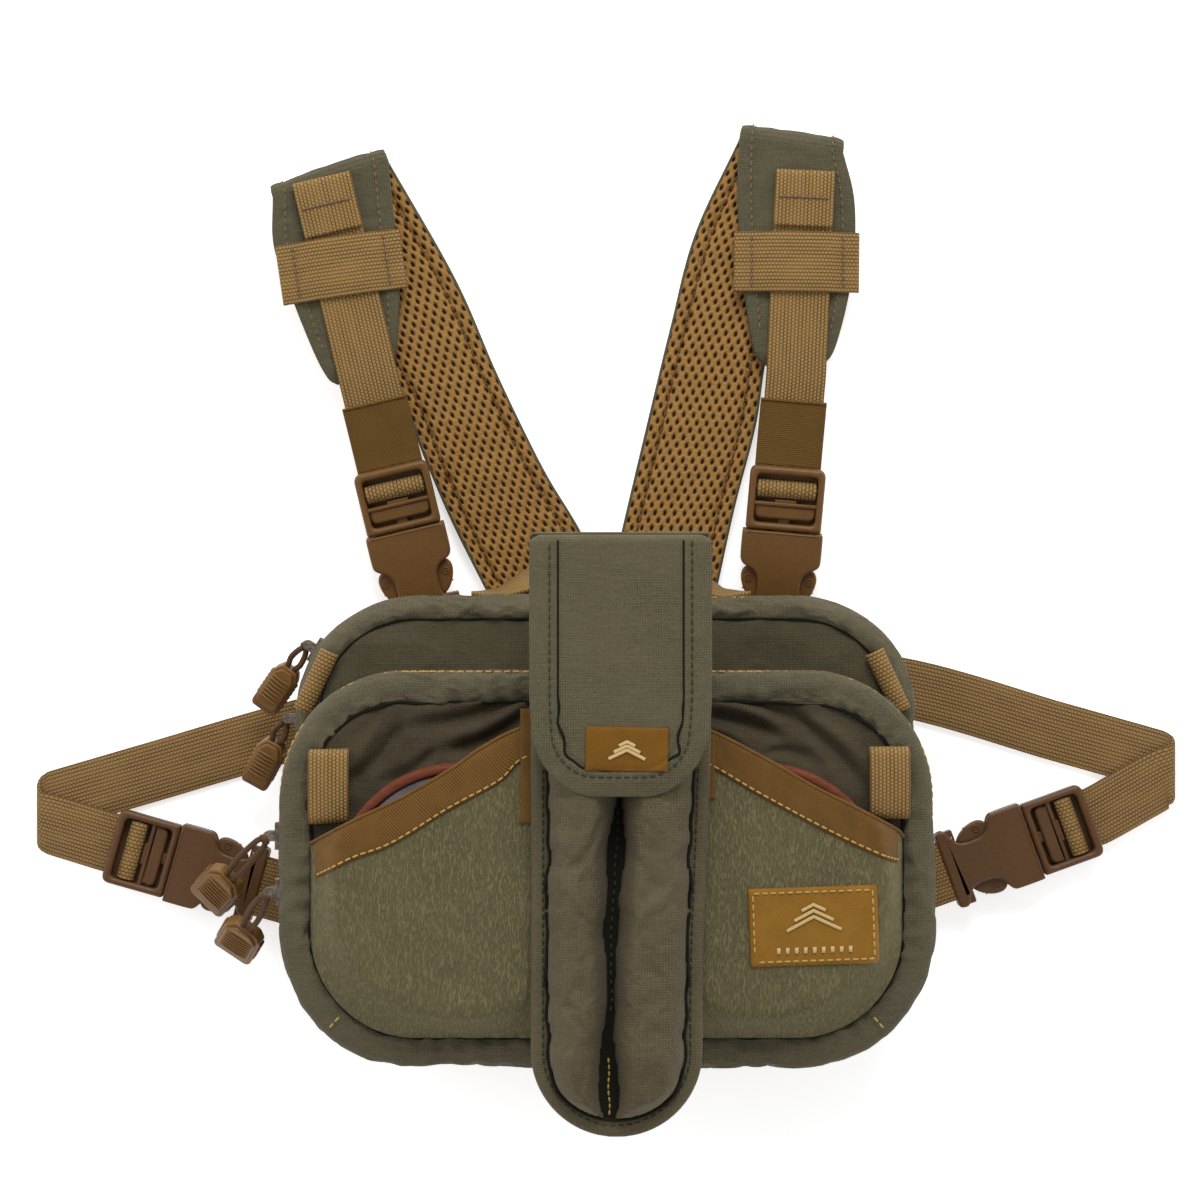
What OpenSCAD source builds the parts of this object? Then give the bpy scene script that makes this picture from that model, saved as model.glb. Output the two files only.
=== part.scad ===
// Chest pack on a four-strap harness: two zipped compartments, two call pockets,
// a twin-channel pouch with a flap, folded shoulder pads and four side-release buckles.
// It lies on its back: X to the wearer's left, Y towards the shoulders, Z away from the chest.

/* [Pack] */
// Half width of the rear compartment
rear_half_w = 127; // [124:1:130]
// Half width of the front compartment
front_half_w = 132; // [129:1:134]
// Top edge of the rear compartment
rear_top_y = 6; // [4:1:6]
// Top edge of the front compartment
front_top_y = -24.5; // [-27:0.5:-23]
// Bottom edge of both compartments
pack_bottom_y = -184; // [-187:1:-182]
// Corner radius at the top of the rear compartment
rear_top_r = 48; // [44:1:52]
// Corner radius at the top of the front compartment
front_top_r = 50; // [44:1:52]
// Corner radius at the bottom of both compartments
bottom_r = 55; // [50:1:60]
// Thickness of the sewn walls
wall_t = 2.5; // [2:0.1:3]

/* [Layers] */
// Thickness of a shoulder pad
pad_t = 6; // [5:0.5:6]
// Underside of the padded back panel
back_z = 6.5; // [6.3:0.1:7]
// Underside of the rear compartment
shell_z = 12; // [12:0.1:12.5]
// Height at which the rear zip parts
rear_zip_z = 31.2; // [29:0.1:33]
// Front face of the rear compartment
tray_z = 50; // [49:0.5:51]
// Height at which the front zip parts
front_zip_z = 64.2; // [62:0.1:65]
// Front face of the front compartment
panel_z = 77; // [76:0.5:78]
// Width of the zip tape on each side of the teeth
tape_w = 4; // [3:0.5:5]
// Gap between the two halves of a zip
zip_gap = 0.4; // [0.3:0.1:0.6]

/* [Calls and pockets] */
// Radius of a round call
call_r = 51; // [49:0.5:51]
// Thickness of a round call
call_t = 15; // [13:0.5:15]
// Radius of the slate face
slate_r = 46; // [44:0.5:47]
// Side clearance round a call in its pocket
call_gap = 0.5; // [0.4:0.1:0.6]
// Thickness of the pocket skin in front of a call
skin_t = 1.8; // [1.2:0.1:2]
// How far a call slides out
call_travel = 35; // [20:1:35]
// Inward lean of the way out
call_lean = 15; // [15:1:16]

/* [Pouch] */
// Left side of the pouch
pouch_left = -30.5; // [-33:0.5:-29]
// Right side of the pouch
pouch_right = 41; // [38:0.5:43]
// Top of the pouch
pouch_top_y = 30; // [26:1:32]
// Bottom of the pouch
pouch_bottom_y = -209; // [-212:1:-205]
// Radius of a channel's bore
channel_r = 8.5; // [7:0.5:9]
// Height of a channel tube above the pouch's back
tube_h = 20; // [18:1:21]
// Length of the flap below the pouch's top
flap_l = 102; // [95:1:106]

/* [Straps and buckles] */
// Width of the webbing
web_w = 25.4; // [24:0.1:26]
// Thickness of the webbing
web_t = 1.8; // [1.4:0.1:1.8]
// Length of the male buckle's frame
frame_l = 27; // [26:0.5:27]
// Width of the male buckle's frame
frame_w = 32; // [31:0.5:33]
// Length of the female buckle
female_l = 39; // [38:0.5:40]
// Width of the female buckle
female_w = 34; // [33:0.5:35]
// Thickness of the female buckle
female_t = 10; // [9.5:0.1:10]
// Thickness of the male buckle's frame
frame_t = 8; // [7.5:0.1:8]
// Slope of the upper buckles
buckle_pitch = 8; // [7.5:0.1:8.2]
// Length of a zip pull's moulded grip
grip_l = 23; // [20:1:24]
// Width of a zip pull's grip
grip_w = 11.5; // [10:0.5:12]

/* [Hidden] */
$fn = 64;
EPS = 0.01;

olive = [0.30, 0.29, 0.23];
olive_dark = [0.24, 0.23, 0.18];
stretch_olive = [0.37, 0.37, 0.26];
coyote = [0.52, 0.39, 0.22];
coyote_orange = [0.55, 0.38, 0.16];
buckle_brown = [0.36, 0.24, 0.13];
metal = [0.45, 0.43, 0.40];

// Heights that follow from the layers
call_z = panel_z + 0.4;
skin_z = call_z + call_t + 0.3;
pocket_top_z = skin_z + skin_t;
binding_t = 1.2;
pouch_z = pocket_top_z + binding_t + 0.3;
pouch_back_t = 2;
tube_z = pouch_z + pouch_back_t;
flap_z = tube_z + tube_h + 0.4;
flap_t = 2.2;
front_pad_z = pad_t + 0.5;
web_z = front_pad_z + pad_t;

// Centres of the calls, left and right
call_at = [[-59.5, -111], [62.5, -111]];
// Centre of the side-wall arc at the upper left corner of the rear compartment
rear_corner = [-(rear_half_w - rear_top_r), rear_top_y - rear_top_r];

// Each buckle: end of the male frame, heading towards the female, downward slope
top_left = [[-92, 62, 14.6], -76.7, buckle_pitch];
top_right = [[77.5, 62, 14.6], -94.8, buckle_pitch];
side_left = [[-210.8, -98.5, 8.8], -15.7, 0];
side_right = [[207, -87.5, 8.8], 200, 0];
upper_buckles = [top_left, top_right];
// Heading of the webbing on each shoulder pad
pad_heading = [-76.7, -92.6];

// ---- shared shapes ----

// Outline with its own corner radii at the top and the bottom
module outline(half_w, top_y, bottom_y, top_radius, low_radius) {
    translate([-half_w, bottom_y + low_radius])
        square([2 * half_w, top_y - top_radius - bottom_y - low_radius]);
    translate([-half_w + top_radius, bottom_y + low_radius])
        square([2 * (half_w - top_radius), top_y - bottom_y - low_radius]);
    translate([-half_w + low_radius, bottom_y])
        square([2 * (half_w - low_radius), top_y - top_radius - bottom_y]);
    for (side = [-1, 1]) {
        translate([side * (half_w - top_radius), top_y - top_radius]) circle(top_radius);
        translate([side * (half_w - low_radius), bottom_y + low_radius]) circle(low_radius);
    }
}

module rear_outline(inset = 0) {
    outline(rear_half_w - inset, rear_top_y - inset, pack_bottom_y + inset,
        rear_top_r - inset, bottom_r - inset);
}

module front_outline(inset = 0) {
    outline(front_half_w - inset, front_top_y - inset, pack_bottom_y + inset,
        front_top_r - inset, bottom_r - inset);
}

// Wall of a compartment between two insets
module rear_wall(z1, z2, outer = 0, inner = wall_t) {
    translate([0, 0, z1]) linear_extrude(z2 - z1) difference() {
        rear_outline(outer);
        rear_outline(inner);
    }
}

module front_wall(z1, z2, outer = 0, inner = wall_t) {
    translate([0, 0, z1]) linear_extrude(z2 - z1) difference() {
        front_outline(outer);
        front_outline(inner);
    }
}

// The zip runs round the top and both sides; the foot of the wall is a fabric hinge
zip_foot_y = pack_bottom_y + bottom_r;
module zip_zone() {
    translate([-200, zip_foot_y, -10]) cube([400, 300, 200]);
}
module hinge_zone() {
    translate([-200, zip_foot_y - 200, -10]) cube([400, 200, 200]);
}

// Plate with round corners
module round_plate(x1, y1, x2, y2, r) {
    translate([x1 + r, y1]) square([x2 - x1 - 2 * r, y2 - y1]);
    translate([x1, y1 + r]) square([x2 - x1, y2 - y1 - 2 * r]);
    for (x = [x1 + r, x2 - r], y = [y1 + r, y2 - r]) translate([x, y]) circle(r);
}

// Round end of a fold, open towards -Y, with two short legs that run into the layers it joins
module fold_end(r, t, leg) {
    difference() {
        union() {
            circle(r);
            translate([-r, -leg]) square([2 * r, leg]);
        }
        circle(r - t);
        translate([t - r, -leg - 1]) square([2 * (r - t), leg + 1]);
        translate([-2 * r, -leg - 2 * r]) square([4 * r, 2 * r]);
    }
}

// Places children in a buckle's own frame: u from frame end to female, v across, w up
module at_buckle(b) {
    translate(b[0]) rotate([0, b[2], b[1]]) children();
}

// ---- rear compartment ----

// The panel stops short of the top edge, where the upper buckles are sewn on
panel_top_y = -8;

module back_panel() {
    panel_inset = 3;
    color(olive_dark) {
        translate([0, 0, back_z]) linear_extrude(shell_z - back_z) intersection() {
            rear_outline(panel_inset);
            translate([-200, -400]) square([400, 400 + panel_top_y]);
        }
        // Lower back cushion, which reaches the ground between the straps
        translate([0, 0, 0]) linear_extrude(back_z + EPS)
            round_plate(-92, -176, 92, -92, 20);
    }
}

module rear_shell() {
    floor_t = 1.5;
    color(olive) {
        translate([0, 0, shell_z]) linear_extrude(floor_t) rear_outline();
        rear_wall(shell_z, rear_zip_z - zip_gap / 2 - tape_w);
        intersection() {
            rear_wall(shell_z, rear_zip_z - zip_gap / 2);
            hinge_zone();
        }
    }
}

module rear_zip_lower() {
    z2 = rear_zip_z - zip_gap / 2;
    color(coyote_orange) intersection() {
        rear_wall(z2 - tape_w, z2, 0.5, 2);
        zip_zone();
    }
}

module rear_zip_upper() {
    z1 = rear_zip_z + zip_gap / 2;
    color(coyote_orange) intersection() {
        rear_wall(z1, z1 + tape_w, 0.5, 2);
        zip_zone();
    }
}

module rear_lid() {
    z1 = rear_zip_z + zip_gap / 2;
    face_t = 3;
    color(olive) {
        rear_wall(z1 + tape_w, tray_z);
        translate([0, 0, tray_z - face_t]) linear_extrude(face_t) rear_outline();
        intersection() {
            rear_wall(z1, tray_z);
            hinge_zone();
        }
    }
}

module rear_loops() {
    loop_l = 27;
    loop_w = 5;
    color(coyote) for (side = [-1, 1])
        translate([side * 120, -28, tray_z]) rotate(side * 25)
            translate([-loop_w / 2, -loop_l / 2]) cube([loop_w, loop_l, 4]);
}

// ---- front compartment ----

module front_tray() {
    z2 = front_zip_z - zip_gap / 2;
    color(olive) {
        translate([0, 0, tray_z]) linear_extrude(1.5) front_outline();
        front_wall(tray_z, z2 - tape_w);
        intersection() {
            front_wall(tray_z, z2);
            hinge_zone();
        }
    }
}

module front_zip_lower() {
    z2 = front_zip_z - zip_gap / 2;
    color(coyote_orange) intersection() {
        front_wall(z2 - tape_w, z2, 0.5, 2);
        zip_zone();
    }
}

module front_zip_upper() {
    z1 = front_zip_z + zip_gap / 2;
    color(coyote_orange) intersection() {
        front_wall(z1, z1 + tape_w, 0.5, 2);
        zip_zone();
    }
}

module front_lid() {
    z1 = front_zip_z + zip_gap / 2;
    face_t = 3;
    color(olive) {
        front_wall(z1 + tape_w, panel_z);
        translate([0, 0, panel_z - face_t]) linear_extrude(face_t) front_outline();
        intersection() {
            front_wall(z1, panel_z);
            hinge_zone();
        }
    }
}

module front_loops() {
    loop_t = 4;
    color(coyote) {
        translate([-121, -84, panel_z]) cube([15, 29, loop_t]);
        translate([107.5, -82, panel_z]) cube([16, 28, loop_t]);
    }
}

// ---- call pockets ----

pocket_mid = 1.75;
left_mouth = [[-120, -93], [-103, -84], [-83, -74.5], [-63, -63], [-50, -54], [-34, -46],
    [pocket_mid - 0.25, -38]];
right_mouth = [[120, -90], [100, -78], [83, -69.5], [63, -58], [41, -47],
    [pocket_mid + 0.25, -38]];
pocket_low = -177;

// Space that a call sweeps as it slides out
module call_sweep(side) {
    dir = side == 0 ? -call_lean : call_lean;
    gap_r = call_r + call_gap;
    sweep_l = call_travel + 10;
    translate([call_at[side][0], call_at[side][1], panel_z - EPS])
        linear_extrude(skin_z - panel_z + EPS) rotate(dir) {
            circle(gap_r);
            translate([0, sweep_l]) circle(gap_r);
            translate([-gap_r, 0]) square([2 * gap_r, sweep_l]);
        }
}

module pocket(side) {
    s = side == 0 ? -1 : 1;
    mouth = side == 0 ? left_mouth : right_mouth;
    inner_x = pocket_mid + s * 0.25;
    color(stretch_olive) difference() {
        translate([0, 0, panel_z]) linear_extrude(pocket_top_z - panel_z)
            polygon(concat(mouth, [[inner_x, pocket_low], [s * 94, pocket_low],
                [s * 120, -148]]));
        call_sweep(side);
    }
}

module pocket_bindings() {
    color(coyote_orange) translate([0, 0, pocket_top_z]) linear_extrude(binding_t) {
        polygon([[-120, -93], [-103, -84], [-83, -74.5], [-63, -63], [-50, -54], [-34, -46],
            [-34, -60], [-43, -68], [-63, -79], [-86, -93], [-103, -99.5], [-120, -107]]);
        polygon([[120, -90], [100, -78], [83, -69.5], [63, -58], [43, -48],
            [43, -62], [61, -73], [87, -87], [107, -96.5], [120, -102]]);
    }
}

module pocket_label() {
    color(coyote_orange) translate([83, -125, pocket_top_z]) rotate(2)
        translate([-26, -15.5, 0]) cube([52, 31, 0.8]);
}

module call(side) {
    color([0.45, 0.22, 0.14]) translate([call_at[side][0], call_at[side][1], call_z])
        difference() {
            cylinder(h = call_t, r = call_r);
            translate([0, 0, call_t - 3]) cylinder(h = 4, r = slate_r);
        }
}

module slate(side) {
    color([0.35, 0.33, 0.36]) translate([call_at[side][0], call_at[side][1], 0])
        translate([0, 0, call_z + call_t - 3]) cylinder(h = 2, r = slate_r - 0.1);
}

// ---- pouch ----

module pouch_outline(inset = 0) {
    x1 = pouch_left + inset;
    x2 = pouch_right - inset;
    mid = (x1 + x2) / 2;
    r = (x2 - x1) / 2;
    translate([x1, pouch_bottom_y + inset + r])
        square([x2 - x1, pouch_top_y - pouch_bottom_y - 2 * inset - r]);
    translate([mid, pouch_bottom_y + inset + r]) circle(r);
}

module pouch_patch() {
    color(coyote_orange) translate([-24, -165, pocket_top_z])
        cube([58, 100, pouch_z - pocket_top_z]);
}

module pouch_back() {
    color(olive) translate([0, 0, pouch_z]) linear_extrude(pouch_back_t) pouch_outline();
}

tube_at = [-11, 18];
tube_r = 12;
tube_top_y = pouch_top_y - 2;
tube_low_y = -190;
module pouch_tubes() {
    color(olive) for (i = [0, 1])
        translate([tube_at[i], tube_top_y, tube_z]) rotate([90, 0, 0])
            difference() {
                linear_extrude(tube_top_y - tube_low_y) intersection() {
                    union() {
                        translate([0, tube_h - tube_r]) circle(tube_r);
                        translate([-tube_r, 0]) square([2 * tube_r, tube_h - tube_r]);
                    }
                    translate([-tube_r, 0]) square(2 * tube_r);
                }
                translate([0, tube_h - tube_r, -1])
                    cylinder(h = tube_top_y - tube_low_y - 3, r = channel_r);
            }
}

module flap() {
    low_y = pouch_top_y - flap_l;
    width = pouch_right - pouch_left;
    corner_r = 24;
    color(olive) {
        translate([0, 0, flap_z]) linear_extrude(flap_t) {
            translate([pouch_left, low_y + corner_r])
                square([width, pouch_top_y + flap_t - low_y - corner_r]);
            translate([pouch_left + corner_r, low_y]) square([width - 2 * corner_r, corner_r + 1]);
            for (x = [pouch_left + corner_r, pouch_right - corner_r])
                translate([x, low_y + corner_r]) circle(corner_r);
        }
        // The flap turns down behind the pouch's top edge, where it is sewn
        translate([pouch_left, pouch_top_y + 0.4, pouch_z])
            cube([width, flap_t - 0.4, flap_z + flap_t - pouch_z]);
    }
}

module flap_label() {
    color(coyote_orange) translate([8 - 16.5, -53 - 8.5, flap_z + flap_t]) cube([33, 17, 0.8]);
}

// ---- harness ----

// A pad folded over its top: rear part on the ground, front part on top of it
module shoulder_pad(rear_part, front_part, fold_from, fold_to) {
    fold = fold_to - fold_from;
    heading = atan2(fold[1], fold[0]);
    fold_r = (front_pad_z + pad_t) / 2;
    // The round end is a little narrower and thinner than the layers that it joins
    edge = 0.4;
    shy = 0.02;
    color(olive) {
        linear_extrude(pad_t) polygon(rear_part);
        translate([0, 0, front_pad_z]) linear_extrude(pad_t) polygon(front_part);
        translate([fold_from[0], fold_from[1], fold_r]) rotate(heading)
            translate([edge, 0, 0]) rotate([0, 90, 0])
                linear_extrude(norm(fold) - 2 * edge)
                    fold_end(fold_r - shy, pad_t - 2 * shy, 2);
    }
}

left_fold = [[-139, 175], [-93, 191]];
right_fold = [[57, 202.8], [101, 196.3]];
pad_low_y = 12;

module shoulder_pad_left() {
    shoulder_pad(
        [left_fold[0], left_fold[1], [-64, 143], [-46, 102], [-27, 62], [-6, 25], [-3, pad_low_y],
            [-53, pad_low_y], [-66, 39], [-78, 67], [-86, 90], [-110, 131]],
        [left_fold[0], left_fold[1], [-90, 164], [-87, 138], [-89, 110], [-93, 105],
            [-113, 97], [-119, 101], [-133, 132], [-139, 156]],
        left_fold[0], left_fold[1]);
}

module shoulder_pad_right() {
    shoulder_pad(
        [right_fold[0], right_fold[1], [84, 150], [70, 115], [64, 80], [55, 45], [48, pad_low_y],
            [2, pad_low_y], [6.5, 34], [19, 87], [27.5, 122], [38, 162], [48, 190]],
        [right_fold[0], right_fold[1], [106, 162], [105, 136], [96, 109], [92, 105],
            [67, 105], [63, 109], [57, 137], [56.5, 162]],
        right_fold[0], right_fold[1]);
}

module yoke() {
    color(olive) linear_extrude(pad_t)
        polygon([[-53, pad_low_y], [48, pad_low_y], [44, -38], [22, -80], [-18, -80], [-44, -38]]);
}

// Webbing of one shoulder: flat on the pad, then down a slope under the buckle's frame
strap_drop_w = -7.2;
strap_flat_u = -38;
module pad_frame(i) {
    foot = [cos(pad_heading[i]), sin(pad_heading[i])];
    b = upper_buckles[i];
    start = [b[0][0] + strap_flat_u * cos(b[1]), b[0][1] + strap_flat_u * sin(b[1])];
    translate([start[0], start[1], web_z]) rotate(pad_heading[i]) children();
}

module shoulder_webbing() {
    tail_l = 22;
    flat_l = 82;
    color(coyote) for (i = [0, 1]) {
        pad_frame(i) {
            translate([-flat_l, -web_w / 2, 0]) cube([flat_l + 1, web_w, web_t]);
            translate([-flat_l - 5, -web_w / 2, 0]) cube([tail_l, web_w, web_t + 2]);
        }
        at_buckle(upper_buckles[i]) translate([strap_flat_u, -web_w / 2, strap_drop_w])
            cube([-strap_flat_u + 9, web_w, web_t]);
    }
}

module keeper_bands() {
    keeper_t = 1.5;
    web_gap = 0.3;
    keepers = [[[-139, 156], [-90, 164], [-87.5, 138], [-133, 132]],
        [[56.5, 162], [107, 162], [105, 136], [57, 137]]];
    color(coyote) for (i = [0, 1]) difference() {
        translate([0, 0, web_z]) linear_extrude(web_t + web_gap + keeper_t) polygon(keepers[i]);
        pad_frame(i) translate([-120, -web_w / 2 - web_gap, -1])
            cube([130, web_w + 2 * web_gap, web_t + web_gap + 1]);
    }
}

module elastic_sleeves() {
    sleeve_t = 1;
    gap = 0.1;
    color(buckle_brown) for (b = upper_buckles) at_buckle(b)
        translate([-28, 0, strap_drop_w + web_t / 2]) difference() {
            outer = [26, web_w + 2 * (sleeve_t + gap), web_t + 2 * (sleeve_t + gap)];
            translate([0, -outer[1] / 2, -outer[2] / 2]) cube(outer);
            translate([-1, -web_w / 2 - gap, -web_t / 2 - gap])
                cube([28, web_w + 2 * gap, web_t + 2 * gap]);
        }
}

// A side strap: rear leg on the ground, a fold, and a front leg back to the buckle
module side_strap(rear_leg, front_leg, fold_x, fold_y1, fold_y2) {
    rear_z = 0.3;
    front_z = rear_z + web_t + 0.3;
    fold_r = (front_z + web_t - rear_z) / 2;
    out = fold_x < 0 ? -1 : 1;
    color(coyote) {
        translate([0, 0, rear_z]) linear_extrude(web_t) polygon(rear_leg);
        translate([0, 0, front_z]) linear_extrude(web_t) polygon(front_leg);
        translate([fold_x, fold_y2, rear_z + fold_r]) rotate([90, 0, 0])
            linear_extrude(fold_y2 - fold_y1) rotate(-90 * out) fold_end(fold_r, web_t, 1);
    }
}

module side_strap_left() {
    side_strap(
        [[-49, -15], [-49, -41], [-136, -64], [-242, -92], [-242, -66]],
        [[-242, -72], [-242, -98], [-214.2, -110.7], [-205.5, -113.2], [-198.7, -88.7],
            [-207.3, -86.3]],
        -242, -97, -67);
}

module side_strap_right() {
    side_strap(
        [[48, -14], [48, -40], [132, -50], [242, -75.5], [242, -49], [115, -19]],
        [[242, -56], [242, -83], [211.3, -99.4], [202.9, -102.5], [194.2, -78.6],
            [202.7, -75.6]],
        242, -82, -50);
}

module grab_handle() {
    arch_r = 98;
    arch_top_y = 25;
    handle_t = 2.2;
    color(coyote) translate([2, arch_top_y - arch_r, 14]) linear_extrude(16) difference() {
        circle(arch_r, $fn = 128);
        circle(arch_r - handle_t, $fn = 128);
        translate([-120, -150]) square([240, 150 + rear_top_y - arch_top_y + arch_r]);
    }
}

// ---- side-release buckles ----

slot_u = 58.8;
bar_u = 62.8;
buckle_l = frame_l + female_l;
waist_u = [46, 49, 54, 58];
cavity_half = 3;
prong_half = 2.6;
prong_root = [30.8, 8];
tongue_half = 4;

module female(b) {
    half = female_w / 2;
    waist = 11.2;
    end_half = half - 0.5;
    mouth_u = frame_l + 0.4;
    color(buckle_brown) at_buckle(b) difference() {
        translate([0, 0, -female_t / 2]) linear_extrude(female_t) polygon([
            [mouth_u, -half], [waist_u[0], -half], [waist_u[1], -waist], [waist_u[2], -waist],
            [waist_u[3], -end_half], [buckle_l, -end_half], [buckle_l, end_half],
            [waist_u[3], end_half], [waist_u[2], waist], [waist_u[1], waist],
            [waist_u[0], half], [mouth_u, half]]);
        // Cavity for the prongs, open at the mouth and along both sides
        difference() {
            translate([mouth_u - 1, -half - 1, -cavity_half])
                cube([56 - mouth_u, 2 * half + 2, 2 * cavity_half]);
            translate([42, -2.5, -cavity_half - 1]) cube([20, 5, 2 * cavity_half + 2]);
        }
        translate([slot_u, -web_w / 2 - 0.5, -female_t])
            cube([bar_u - slot_u, web_w + 1, 2 * female_t]);
        // The bar is thinner than the housing, so the webbing wraps it
        for (w = [2, -female_t])
            translate([bar_u - EPS, -web_w / 2 - 0.5, w])
                cube([10, web_w + 1, female_t - 2]);
    }
}

module male(b) {
    window = [3, 24];
    bar_at = 10.8;
    bar_r = 1.8;
    half = frame_w / 2;
    color(buckle_brown) at_buckle(b) {
        difference() {
            translate([0, 0, -frame_t / 2]) linear_extrude(frame_t)
                round_plate(0, -half, frame_l, half, 3);
            translate([window[0], -web_w / 2 - 0.6, -frame_t])
                cube([window[1] - window[0], web_w + 1.2, 2 * frame_t]);
        }
        translate([bar_at, half - 2, 0]) rotate([90, 0, 0]) cylinder(h = frame_w - 4, r = bar_r);
        translate([18.6, -half + 2, -3]) cube([3, frame_w - 4, 6]);
        translate([21, -2.2, -2]) cube([4, 4.4, 4]);
        translate([frame_l - 1, -tongue_half, -2.2]) cube([8, 2 * tongue_half, 4.4]);
    }
    // Webbing turned round the bar
    color(coyote) at_buckle(b) translate([bar_at, web_w / 2, 0]) rotate([90, 0, 0])
        difference() {
            cylinder(h = web_w, r = bar_r + 0.2 + web_t);
            translate([0, 0, -1]) cylinder(h = web_w + 2, r = bar_r + 0.2);
        }
}

module prong(b, side) {
    u = prong_root[0];
    v = prong_root[1];
    color(buckle_brown) at_buckle(b) mirror([0, side < 0 ? 1 : 0, 0])
        translate([0, 0, -prong_half]) linear_extrude(2 * prong_half) {
            translate([u, v]) circle(2.6);
            polygon([[u, v - 2.2], [u, v + 2.4], [43, 12.4], [46.4, 15.6], [52, 15.4], [54.4, 13],
                [54.8, 8.2], [52, 7.2]]);
        }
}

// Webbing turned round a female's bar and sewn together behind it
module tab(b, tail_l) {
    layer = 1.6;
    inner = 2.1;
    start_u = bar_u - 0.2;
    color(coyote) at_buckle(b) translate([0, web_w / 2, 0]) rotate([90, 0, 0])
        linear_extrude(web_w) difference() {
            translate([start_u - layer, -inner - layer])
                square([buckle_l - start_u + layer + tail_l, 2 * (inner + layer)]);
            translate([start_u, -inner]) square([buckle_l - start_u + 0.2, 2 * inner]);
        }
}

module buckle_tabs() {
    difference() {
        for (b = upper_buckles) tab(b, 12);
        translate([-200, -50 + panel_top_y + 0.05, -1]) cube([400, 50, 20]);
    }
    difference() {
        for (b = [side_left, side_right]) tab(b, 30);
        translate([0, 0, -1]) linear_extrude(60) rear_outline(-0.05);
    }
}

// ---- zip sliders and pulls ----

slider_t = 4;
slider_l = 11;
slider_w = 8;
// Distance of a pull's post from the wall, its radius and the height of the ring round it
post_x = 6.5;
post_r = 1;
ring_h = 3;
lug_gap = 0.3;

// A slider against a wall whose outward normal is the local +X, with a post between two lugs
module slider() {
    lug_z = ring_h / 2 + lug_gap;
    color(metal) {
        translate([0.5, -slider_l / 2, -slider_w / 2]) cube([3, slider_l, slider_w]);
        for (z = [-slider_w / 2, lug_z]) translate([0, 0, z])
            linear_extrude(slider_w / 2 - lug_z) {
                translate([1, -2]) square([post_x - 1, 4]);
                translate([post_x, 0]) circle(2, $fn = 32);
            }
        translate([post_x, 0, -slider_w / 2]) cylinder(h = slider_w, r = post_r, $fn = 32);
    }
}

// Angle of the upper rear slider round the compartment's upper left corner
rear_slider_angle = 148;
rear_slider_y = -44;
front_slider_y = [-91, -114];

module side_slider(half_w, y, z) {
    translate([-half_w, y, z]) rotate(180) slider();
}

module corner_slider() {
    translate([rear_corner[0], rear_corner[1], rear_zip_z]) rotate(rear_slider_angle)
        translate([rear_top_r, 0, 0]) slider();
}

// Each pull's eye is its slider's post
corner_eye = [rear_corner[0] + (rear_top_r + post_x) * cos(rear_slider_angle),
    rear_corner[1] + (rear_top_r + post_x) * sin(rear_slider_angle), rear_zip_z];
rear_eye = [-rear_half_w - post_x, rear_slider_y, rear_zip_z];
front_eyes = [for (y = front_slider_y) [-front_half_w - post_x, y, front_zip_z]];

// A pull: a ring on the post, a short link, a doubled cord and a moulded grip down to its tip
module pull(eye, tip) {
    link_l = 4.5;
    flat = [tip[0] - eye[0], tip[1] - eye[1]];
    heading = atan2(flat[1], flat[0]);
    run = norm(flat) - link_l;
    drop = eye[2] - tip[2];
    length = norm([run, drop]);
    cord_r = 1.3;
    grip_t = 5;
    color(buckle_brown) translate(eye) rotate(heading) {
        difference() {
            union() {
                translate([0, 0, -ring_h / 2]) cylinder(h = ring_h, r = 2.8, $fn = 32);
                translate([1.5, -2.8, -ring_h / 2]) cube([link_l - 0.5, 5.6, ring_h]);
            }
            translate([0, 0, -ring_h]) cylinder(h = 2 * ring_h, r = post_r + 0.3, $fn = 32);
        }
        translate([link_l, 0, 0]) rotate([0, atan2(drop, run), 0]) {
            for (v = [-1, 1]) translate([0, v * 1.5, 0]) rotate([0, 90, 0])
                cylinder(h = length - grip_l + 2, r = cord_r, $fn = 24);
            translate([length - grip_l, 0, -grip_t / 2]) linear_extrude(grip_t)
                polygon([[0, -3.5], [3, -grip_w / 2], [grip_l, -grip_w / 2],
                    [grip_l, grip_w / 2], [3, grip_w / 2], [0, 3.5]]);
        }
    }
}

back_panel();
rear_shell();
rear_zip_lower();
rear_lid();
rear_zip_upper();
front_tray();
front_zip_lower();
rear_loops();
front_lid();
front_zip_upper();
pocket(0);  // pocket_left
pocket(1);  // pocket_right
pocket_bindings();
front_loops();
pocket_label();
pouch_patch();
pouch_back();
pouch_tubes();
flap();
flap_label();
call(0);  // call_left
call(1);  // call_right
slate(0);  // slate_left
slate(1);  // slate_right
shoulder_pad_left();
shoulder_pad_right();
yoke();
shoulder_webbing();
keeper_bands();
elastic_sleeves();
side_strap_left();
side_strap_right();
buckle_tabs();
grab_handle();
female(top_left);  // female_top_left
female(top_right);  // female_top_right
female(side_left);  // female_side_left
female(side_right);  // female_side_right
male(top_left);  // male_top_left
male(top_right);  // male_top_right
male(side_left);  // male_side_left
male(side_right);  // male_side_right
prong(top_left, 1);  // prong_top_left_a
prong(top_left, -1);  // prong_top_left_b
prong(top_right, 1);  // prong_top_right_a
prong(top_right, -1);  // prong_top_right_b
prong(side_left, 1);  // prong_side_left_a
prong(side_left, -1);  // prong_side_left_b
prong(side_right, 1);  // prong_side_right_a
prong(side_right, -1);  // prong_side_right_b
corner_slider();  // slider_rear_upper
side_slider(rear_half_w, rear_slider_y, rear_zip_z);  // slider_rear_lower
side_slider(front_half_w, front_slider_y[0], front_zip_z);  // slider_front_upper
side_slider(front_half_w, front_slider_y[1], front_zip_z);  // slider_front_lower
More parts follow.
